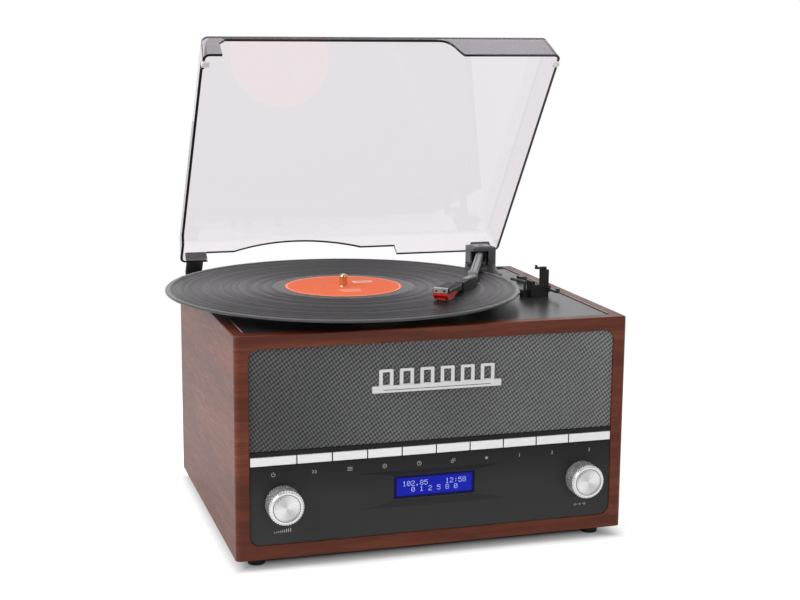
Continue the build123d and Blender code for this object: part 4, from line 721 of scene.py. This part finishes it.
def area_lamp(name, place, aim, size, power):
    """Lamp at a place in metres, turned to face its aim."""
    data = bpy.data.lights.new(name, "AREA")
    data.shape = "RECTANGLE"
    data.size, data.size_y = size
    data.energy = power
    lamp = bpy.data.objects.new(name, data)
    scene.collection.objects.link(lamp)
    lamp.location = place
    lamp.rotation_euler = (Vector(aim) - Vector(place)).to_track_quat("-Z", "Y").to_euler()


white_floor()
studio_world()
area_lamp("key", (-1.6, -0.5, 1.3), (0, 0, 0.1), (1.2, 1.2), 30)
area_lamp("top", (0.1, 0.3, 1.9), (0, 0, 0.1), (1.6, 1.6), 12)
area_lamp("front", (0.7, -2.2, 0.8), (0, 0, 0.1), (1.6, 1.0), 8)

# Detail pieces


def box_mm(node):
    """Two corners of a node's box, in millimetres."""
    low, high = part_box(node)
    return low / MM, high / MM


class Drawn:
    """Mesh of a detail, drawn on a face: a and b run along the face and h stands out of it."""

    def __init__(self, origin, a_dir, b_dir):
        a = Vector(a_dir).normalized()
        b = Vector(b_dir).normalized()
        turn = Matrix((a, b, a.cross(b))).transposed().to_4x4()
        self.place = Matrix.Translation(Vector(origin) * MM) @ turn @ Matrix.Scale(MM, 4)
        self.bm = bmesh.new()

    def prism(self, points, low, high):
        under = [self.bm.verts.new((a, b, low)) for a, b in points]
        over = [self.bm.verts.new((a, b, high)) for a, b in points]
        self.bm.faces.new(list(reversed(under)))
        self.bm.faces.new(over)
        for i in range(len(points)):
            j = (i + 1) % len(points)
            self.bm.faces.new((under[i], under[j], over[j], over[i]))

    def stroke(self, start, end, width, low, high):
        """Straight line with square ends half a width past its two points."""
        along = Vector((end[0] - start[0], end[1] - start[1])).normalized() * width / 2
        side = Vector((-along.y, along.x))
        s, e = Vector(start), Vector(end)
        corners = (s - along - side, e + along - side, e + along + side, s - along + side)
        self.prism([tuple(c) for c in corners], low, high)

    def slab(self, centre, width, tall, low, high, corner=0.0):
        if corner <= 0:
            w, t = width / 2, tall / 2
            points = [(-w, -t), (w, -t), (w, t), (-w, t)]
        else:
            points = []
            w, t = width / 2 - corner, tall / 2 - corner
            for start, (x, y) in ((180, (-w, -t)), (270, (w, -t)), (0, (w, t)), (90, (-w, t))):
                for step in range(7):
                    turn = math.radians(start + step * 15)
                    points.append((x + corner * math.cos(turn), y + corner * math.sin(turn)))
        self.prism([(centre[0] + a, centre[1] + b) for a, b in points], low, high)

    def ring(self, centre, inner, outer, low, high, count=48, start=0, sweep=360):
        """Flat ring, or a part of one with closed ends."""
        whole = sweep >= 360
        rows = []
        for step in range(count if whole else count + 1):
            turn = math.radians(start + sweep * step / count)
            c, s = math.cos(turn), math.sin(turn)
            rows.append(
                [
                    self.bm.verts.new((centre[0] + r * c, centre[1] + r * s, h))
                    for r, h in ((inner, low), (outer, low), (outer, high), (inner, high))
                ]
            )
        for i in range(len(rows) if whole else len(rows) - 1):
            now, after = rows[i], rows[(i + 1) % len(rows)]
            for k in range(4):
                m = (k + 1) % 4
                self.bm.faces.new((now[k], after[k], after[m], now[m]))
        if not whole:
            self.bm.faces.new(list(reversed(rows[0])))
            self.bm.faces.new(rows[-1])

    def turned(self, centre, profile, count=40):
        """Solid turned about h: the profile runs from the axis below to the axis above."""
        first = self.bm.verts.new((centre[0], centre[1], profile[0][1]))
        last = self.bm.verts.new((centre[0], centre[1], profile[-1][1]))
        turns = [2 * math.pi * k / count for k in range(count)]
        rows = []
        for r, h in profile[1:-1]:
            spots = [(centre[0] + r * math.cos(turn), centre[1] + r * math.sin(turn), h) for turn in turns]
            rows.append([self.bm.verts.new(spot) for spot in spots])
        for k in range(count):
            m = (k + 1) % count
            self.bm.faces.new((first, rows[0][m], rows[0][k]))
            self.bm.faces.new((last, rows[-1][k], rows[-1][m]))
            for low, high in zip(rows, rows[1:]):
                self.bm.faces.new((low[k], low[m], high[m], high[k]))

    def screw(self, centre, r=2.6, rise=1.3):
        """Rounded screw head."""
        profile = [(0, 0), (r, 0), (r, rise * 0.25), (r * 0.86, rise * 0.75), (r * 0.55, rise), (0, rise)]
        self.turned(centre, profile, 28)

    def cross(self, centre, r=2.6, rise=1.3):
        """Thin cross on a screw head, for its recess."""
        x, y = centre
        arm = r * 0.5
        self.stroke((x - arm, y), (x + arm, y), r * 0.22, rise * 0.9, rise + 0.04)
        self.stroke((x, y - arm), (x, y + arm), r * 0.22, rise * 0.9, rise + 0.05)

    def done(self, name, look, body, soften=0.0):
        """Make the piece, with its sharp edges rounded by soften, and let it ride on its body."""
        if soften:
            edges = [e for e in self.bm.edges if e.calc_face_angle(0) > math.radians(40)]
            bmesh.ops.bevel(
                self.bm,
                geom=edges,
                offset=soften,
                segments=2,
                affect="EDGES",
                profile=0.5,
                clamp_overlap=True,
            )
        bmesh.ops.recalc_face_normals(self.bm, faces=self.bm.faces)
        for face in self.bm.faces:
            face.smooth = True
        for edge in self.bm.edges:
            edge.smooth = edge.calc_face_angle(0) < math.radians(32)
        mesh = bpy.data.meshes.new(name)
        self.bm.to_mesh(mesh)
        self.bm.free()
        mesh.transform(self.place)
        mesh.materials.append(look)
        piece = bpy.data.objects.new(name, mesh)
        scene.collection.objects.link(piece)
        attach(piece, body)


def figures(name, text, origin, a_dir, b_dir, tall, thick, look, body):
    """Plain numbers standing a hair proud of a face."""
    size_for_height = 1.38
    curve = bpy.data.curves.new(name, "FONT")
    curve.body = text
    curve.size = tall * size_for_height
    curve.align_x = "CENTER"
    curve.align_y = "CENTER"
    curve.extrude = thick / 2
    draft = bpy.data.objects.new(name + "_draft", curve)
    scene.collection.objects.link(draft)
    mesh = bpy.data.meshes.new_from_object(draft.evaluated_get(bpy.context.evaluated_depsgraph_get()))
    bpy.data.objects.remove(draft)
    drawn = Drawn(origin, a_dir, b_dir)
    drawn.bm.from_mesh(mesh)
    bpy.data.meshes.remove(mesh)
    drawn.done(name, look, body)


FRONT = ((1, 0, 0), (0, 0, 1))
BACK = ((-1, 0, 0), (0, 0, 1))
UP = ((1, 0, 0), (0, 1, 0))
UNDER = ((1, 0, 0), (0, -1, 0))
UP_Z = Vector((0, 0, 1))

# Thickness of print, width of its lines and thickness of the cabinet's board, in millimetres
INK = 0.06
MARK_LINE = 0.42
WRAP_BOARD = 11.0

panel_front = box_mm("control_panel")[0].y
deck_top = box_mm("deck_plate")[1].z


def key_marks():
    """Small plain signs printed on the panel below the first seven keys, and numbers below the last three."""
    level = 67.6
    line = MARK_LINE
    drawn = Drawn((0, panel_front, 0), *FRONT)

    def middle(title):
        low, high = box_mm(title)
        return (low.x + high.x) / 2

    x = middle("key_power")
    drawn.ring((x, level), 1.25, 1.25 + line, 0, INK, 30, -235, 290)
    drawn.stroke((x, level + 0.5), (x, level + 1.9), line, 0, INK)
    x = middle("key_scan")
    for shift in (-1.1, 1.1):
        drawn.stroke((x + shift - 0.8, level + 1.2), (x + shift + 0.5, level), line, 0, INK)
        drawn.stroke((x + shift - 0.8, level - 1.2), (x + shift + 0.5, level), line, 0, INK)
    x = middle("key_menu")
    for rise in (-1.2, 0, 1.2):
        drawn.stroke((x - 1.9, level + rise), (x + 1.9, level + rise), line, 0, INK)
    x = middle("key_info")
    drawn.ring((x, level), 1.35, 1.35 + line, 0, INK, 32)
    drawn.ring((x, level), 0.1, 0.5, 0, INK, 20)
    x = middle("key_alarm")
    drawn.ring((x, level), 1.4, 1.4 + line, 0, INK, 32)
    drawn.stroke((x, level), (x, level + 0.9), line * 0.8, 0, INK)
    drawn.stroke((x, level), (x + 0.7, level), line * 0.8, 0, INK)
    x = middle("key_mode")
    for shift in (-0.6, 0.6):
        across, up = x + shift, level + shift
        for side in (-1, 1):
            drawn.stroke((across - 1, up + side), (across + 1, up + side), line, 0, INK)
            drawn.stroke((across + side, up - 1), (across + side, up + 1), line, 0, INK)
    x = middle("key_preset")
    tips = []
    for step in range(10):
        reach = 1.75 if step % 2 == 0 else 0.75
        turn = math.radians(90 + step * 36)
        tips.append((x + reach * math.cos(turn), level + reach * math.sin(turn)))
    drawn.prism(tips, 0, INK)
    drawn.done("key_marks", PRINT, "cabinet")
    for title, text in (("key_one", "1"), ("key_two", "2"), ("key_three", "3")):
        spot = (middle(title), panel_front, level)
        figures(title + "_number", text, spot, *FRONT, 2.9, INK * 2, PRINT, "cabinet")


def knob_marks():
    """Printed signs below the knobs: rising bars for loudness, two arrows for tuning."""
    level = 21.6
    line = MARK_LINE
    drawn = Drawn((0, panel_front, 0), *FRONT)
    x = left_knob_c.x / MM
    for step in range(9):
        tall = 0.8 + step * 0.3
        drawn.slab((x - 6.4 + step * 1.6, level - 1.2 + tall / 2), 0.7, tall, 0, INK)
    x = right_knob_c.x / MM
    for side in (-1, 1):
        tip = (x + side * 5.0, level)
        drawn.stroke(tip, (x + side * 2.2, level), line, 0, INK)
        for rise in (1.0, -1.0):
            drawn.stroke(tip, (x + side * 3.9, level + rise), line, 0, INK)
    drawn.ring((x, level), 0.1, 0.7, 0, INK, 24)
    drawn.done("knob_marks", PRINT, "cabinet")


DOTS = {
    "0": (" ### ", "#   #", "#  ##", "# # #", "##  #", "#   #", " ### "),
    "1": ("  #  ", " ##  ", "  #  ", "  #  ", "  #  ", "  #  ", " ### "),
    "2": (" ### ", "#   #", "    #", "  ## ", " #   ", "#    ", "#####"),
    "5": ("#####", "#    ", "#### ", "    #", "    #", "#   #", " ### "),
    "8": (" ### ", "#   #", "#   #", " ### ", "#   #", "#   #", " ### "),
    ":": ("     ", "  #  ", "  #  ", "     ", "  #  ", "  #  ", "     "),
    ".": ("     ", "     ", "     ", "     ", "     ", " ##  ", " ##  "),
    " ": ("     ",) * 7,
}


def display_figures():
    """Two rows of dotted numbers on the display window's face."""
    low, high = box_mm("display_window")
    pitch = 0.6
    dot_side = pitch * 0.78
    cell = pitch * 6
    row_gap = pitch * 8.4
    rows = ("102.85    12:58", "  0 1 2 5 8 0  ")
    drawn = Drawn(((low.x + high.x) / 2, low.y, (low.z + high.z) / 2), *FRONT)
    for line, text in enumerate(rows):
        top = row_gap * (0.5 - line) + pitch * 3
        for place, sign in enumerate(text):
            left = (place - len(rows[0]) / 2) * cell + pitch
            for down, dots in enumerate(DOTS[sign]):
                for across, dot in enumerate(dots):
                    if dot == "#":
                        centre = (left + across * pitch, top - down * pitch)
                        drawn.slab(centre, dot_side, dot_side, 0, INK)
    drawn.done("display_figures", WHITE_DOT, "cabinet")


def emblem_trim():
    """End caps and a dark line along the emblem's bar."""
    bar_middle = 2.8
    low, high = box_mm("emblem_bar")
    middle = low.z + bar_middle
    caps = Drawn((0, low.y, middle), *FRONT)
    for side in (-1, 1):
        edge = high.x if side > 0 else -low.x
        caps.slab((side * (edge - 3.6), 0), 4.6, 4.2, 0, 0.3, 0.6)
    caps.done("emblem_caps", SILVER, "cabinet", 0.1)
    line = Drawn((0, low.y, middle), *FRONT)
    line.slab((0, -0.7), high.x - low.x - 18, 0.5, 0, 0.05)
    line.done("emblem_line", STEEL_BLACK, "cabinet")


def label_print():
    """Plain label print: a small pale box with three dark bars, and three pale bars below the hole."""
    box_x, box_y = 21, 16
    low, high = box_mm("record_label")
    x, y = (low.x + high.x) / 2, (low.y + high.y) / 2
    pale = Drawn((x, y, high.z), *UP)
    pale.slab((box_x, box_y), 17, 8.5, 0, INK, 0.6)
    for rise in (-18, -22.5, -27):
        pale.slab((0, rise), 26 + rise * 0.35, 1.1, 0, INK, 0.4)
    pale.done("label_box", WHITE_PRINT, "platter")
    bar = Drawn((x, y, high.z + INK), *UP)
    for shift in (-2, 0, 2):
        bar.slab((box_x, box_y + shift), 12.5, 0.7, 0, INK / 2)
    bar.done("label_bars", LABEL_INK, "platter")


def arm_frame(heading_degrees):
    """Level directions ahead and across for a heading."""
    turn = math.radians(heading_degrees)
    ahead = Vector((-math.sin(turn), -math.cos(turn), 0))
    return ahead, UP_Z.cross(ahead)


def tube_trim():
    """Pale strip along the top, a ridge whose paleness is a painted highlight, and dark seams and collars on
    the tonearm's tube.
    """
    ahead, left = arm_frame(ARM_HEADING)
    slope = Vector((ahead.x, ahead.y, -ARM_DROP / ARM_REACH)).normalized()
    tube = Drawn(PIVOT, slope, left)
    # Ridge along the tube's top, pale as a painted highlight.
    tube.slab((STRIP_MIDDLE, 0), STRIP_LENGTH, 5.4, TUBE_HALF - 0.4, TUBE_HALF + 0.25, 0.6)
    tube.done("arm_top_strip_painted_highlight", GREY_PALE, "tonearm_lift", 0.1)
    seam = Drawn(PIVOT, slope, left)
    seam.slab((STRIP_MIDDLE, -0.9), STRIP_LENGTH, 0.7, TUBE_HALF, TUBE_HALF + 0.32)
    seam.slab((STRIP_MIDDLE, 2.9), STRIP_LENGTH, 0.6, TUBE_HALF - 0.6, TUBE_HALF + 0.1)
    seam.done("arm_seams", BLACK_ARM, "tonearm_lift")
    collars = Drawn(PIVOT, slope, left)
    for reach in (111, 115, 119):
        collars.slab((reach, 0), 1.8, 8.4, -TUBE_HALF - 0.3, TUBE_HALF + 0.5, 0.4)
    collars.done("arm_collars", GREY_PALE, "tonearm_lift", 0.2)


def shell_trim():
    """Socket at the tonearm's bend, and the ribs, side lines, metal nose and red skirt of its shell."""
    knuckle = Vector(PIVOT) + arm_frame(ARM_HEADING)[0] * ARM_REACH
    knuckle.z = PIVOT[2] - ARM_DROP
    ahead, left = arm_frame(SHELL_HEADING)
    low, high = box_mm("headshell")
    under = Vector((knuckle.x, knuckle.y, low.z))
    over = Vector((knuckle.x, knuckle.y, high.z))
    middle = SHELL_START + SHELL_LENGTH / 2
    end = SHELL_START + SHELL_LENGTH
    neck = Drawn(knuckle, ahead, left)
    neck.slab((18, 0), 30, 8.6, -5.2, TUBE_HALF + 0.3, 0.8)
    neck.done("shell_socket", BLACK_ARM, "tonearm_lift", 0.3)
    bracket = Drawn(knuckle, ahead, left)
    bracket.slab((9, 0), 14, 5.0, TUBE_HALF, TUBE_HALF + 0.9, 0.6)
    bracket.slab((33, -4.3), 26, 0.6, 0.6, 1.4)
    bracket.done("shell_bracket", GREY_PALE, "tonearm_lift", 0.1)
    ribs = Drawn(over, ahead, left)
    for step in range(9):
        ribs.slab((SHELL_START + 3.5 + step * 2.9, 0), 1.1, SHELL_WIDTH - 3, -0.1, 0.5, 0.4)
    ribs.done("shell_ribs", BLACK_GLOSS, "tonearm_lift", 0.1)
    edge = Drawn(over, ahead, left)
    for side in (-1, 1):
        edge.slab((middle, side * (SHELL_WIDTH / 2 + 0.1)), SHELL_LENGTH - 4, 0.6, -1.7, -0.9, 0.2)
    edge.done("shell_edge_line", CHROME, "tonearm_lift")
    nose = Drawn(under, ahead, left)
    nose.slab((end - 0.6, 0), 3.6, SHELL_WIDTH - 2.5, 0.2, high.z - low.z + 0.5, 0.6)
    nose.done("shell_nose", CHROME, "tonearm_lift", 0.2)
    pins = Drawn(knuckle + ahead * (end + 1.2), left, UP_Z)
    for side in (-1, 1):
        pins.slab((side * 3.4, low.z - knuckle.z + 2.0), 2.2, 1.6, -0.1, 0.2, 0.4)
    pins.done("shell_nose_pins", BLACK_GLOSS, "tonearm_lift")
    skirt = Drawn(under, ahead, UP_Z)
    foot = [(end - 23, -3.0), (end - 9, -6.2), (end - 2, -5.4), (end + 1.4, -1.8)]
    skirt.prism([*foot, (end + 1.4, 0), (end - 23, 0)], -6.2, 6.2)
    skirt.done("stylus_skirt", RED, "tonearm_lift", 0.4)


def screw_heads(name, crosses_name, origin, face, spots, r=2.6, rise=1.3):
    """Steel screw heads on a face of the cabinet, with their dark crosses as a second piece."""
    heads = Drawn(origin, *face)
    crosses = Drawn(origin, *face)
    for spot in spots:
        heads.screw(spot, r, rise)
        crosses.cross(spot, r, rise)
    heads.done(name, STEEL, "cabinet")
    crosses.done(crosses_name, STEEL_BLACK, "cabinet")


def housing_trim():
    """Cap on the tonearm's pivot housing, with one screw."""
    cap_inset = 3
    cap_thick = 0.5
    low, high = box_mm("tonearm_housing")
    x, y = (low.x + high.x) / 2, (low.y + high.y) / 2
    wide, deep = high.x - low.x - 2 * cap_inset, high.y - low.y - 2 * cap_inset
    cap = Drawn((x, y, high.z), *UP)
    cap.slab((0, 0), wide, deep, 0, cap_thick, 2.0)
    cap.done("housing_cap", GREY_LIGHT, "cabinet", 0.2)
    over = (x, y, high.z + cap_thick)
    screw_heads("housing_screw", "housing_screw_cross", over, UP, [(0, 0)], 2.4, 0.9)


def deck_print():
    """Numbers beside the speed switch, lines along the cabinet's rim, and arrows beside the cue lever."""
    low, high = box_mm("speed_switch")
    x, y = (low.x + high.x) / 2, (low.y + high.y) / 2
    speeds = ((-7, "33"), (0, "45"), (7, "78"))
    ticks = Drawn((x, y, deck_top), *UP)
    for place, _ in speeds:
        ticks.slab((5.2, place), 1.8, 0.5, 0, INK)
    ticks.done("speed_ticks", PRINT, "cabinet")
    for place, text in speeds:
        spot = (x + 9.2, y + place, deck_top)
        figures("speed_" + text, text, spot, *UP, 2.6, INK * 2, PRINT, "cabinet")
    wrap_low, wrap_high = box_mm("cabinet_wrap")
    for name, shift, look in (("rim_pale_lines", 1.6, PRINT), ("rim_dark_lines", 2.4, BLACK_ARM)):
        lines = Drawn((0, 0, wrap_high.z), *UP)
        for side in (-1, 1):
            across = side * (wrap_high.x - WRAP_BOARD + shift)
            lines.slab((across, 0), 0.8, wrap_high.y - wrap_low.y - 3 * WRAP_BOARD, 0, INK)
        lines.done(name, look, "cabinet")
    low, high = box_mm("cue_lever")
    mark = Drawn((high.x + 4.5, low.y + 3, deck_top), *UP)
    mark.prism([(-1.6, 1.0), (1.6, 1.0), (0, 3.6)], 0, INK)
    mark.prism([(1.6, -1.0), (-1.6, -1.0), (0, -3.6)], 0, INK)
    mark.done("cue_mark", PRINT, "cabinet")


def back_hardware():
    """Screws of the back board and the socket plate, the sockets' metal rims and their coloured collars."""
    board_inset = 9
    plate_inset = 4.5
    high = box_mm("back_board")[1]
    wide = high.x - board_inset
    spots = [(side * wide, rise) for side in (-1, 1) for rise in (14, 88)]
    spots += [(x, rise) for rise in (high.z - board_inset, board_inset) for x in (-60, 60)]
    screw_heads("back_screws", "back_screw_crosses", (0, high.y, 0), BACK, spots)
    low, high = box_mm("socket_plate")
    face = (0, high.y, 0)
    across = (low.x + plate_inset, high.x - plate_inset)
    spots = [(-x, z) for x in across for z in (low.z + plate_inset, high.z - plate_inset)]
    screw_heads("plate_screws", "plate_screw_crosses", face, BACK, spots, 1.9, 0.9)

    # Places of the sockets along the plate, from its middle
    left, right, aux, aerial, power = -12, 4, 20, 38, -38
    rim_thick = 0.15
    middle_x = (low.x + high.x) / 2
    middle_z = (low.z + high.z) / 2
    shells = Drawn(face, *BACK)
    rims = ((left, 3.35, 4.2, 8.0), (right, 3.35, 4.2, 8.0), (aerial, 3.4, 4.75, 10.0), (aux, 1.85, 3.6, 1.5))
    for offset, inner, outer, stand in rims:
        shells.ring((-(middle_x + offset), middle_z), inner, outer, stand, stand + rim_thick, 40)
    shells.done("socket_shells", CHROME, "cabinet")
    for name, offset, look in (("left", left, WHITE_PAD), ("right", right, RED)):
        collar = Drawn(face, *BACK)
        collar.ring((-(middle_x + offset), middle_z), 4.25, 5.6, 0, 1.4, 44)
        collar.done("socket_collar_" + name, look, "cabinet", 0.2)
    inlet = Drawn(face, *BACK)
    inlet.ring((-(middle_x + power), middle_z), 5.55, 6.8, 0, 0.8, 44)
    inlet.done("inlet_collar", BLACK_GLOSS, "cabinet", 0.2)


def hinge_screws():
    """Two screws in the plate of each hinge bracket."""
    hinge_x = 142
    plate = 2.0
    inset = 4.5
    low, high = box_mm("hinge_brackets")
    face = (0, box_mm("back_board")[1].y + plate, 0)
    levels = (low.z + inset, high.z - inset)
    spots = [(side * hinge_x, z) for side in (-1, 1) for z in levels]
    screw_heads("hinge_screws", "hinge_screw_crosses", face, BACK, spots, 2.1, 1.0)


def foot_rings():
    """Dark ring in the underside of each foot."""
    foot_r = 8
    low, high = box_mm("feet")
    rings = Drawn((0, 0, low.z + 0.02), *UNDER)
    for x in (low.x + foot_r, high.x - foot_r):
        for y in (low.y + foot_r, high.y - foot_r):
            rings.ring((x, -y), 2.6, 3.4, -0.2, 0.0, 36)
    rings.done("foot_rings", STEEL_BLACK, "cabinet")


key_marks()
knob_marks()
display_figures()
emblem_trim()
label_print()
tube_trim()
shell_trim()
housing_trim()
deck_print()
back_hardware()
hinge_screws()
foot_rings()

scene.view_settings.view_transform = "Standard"
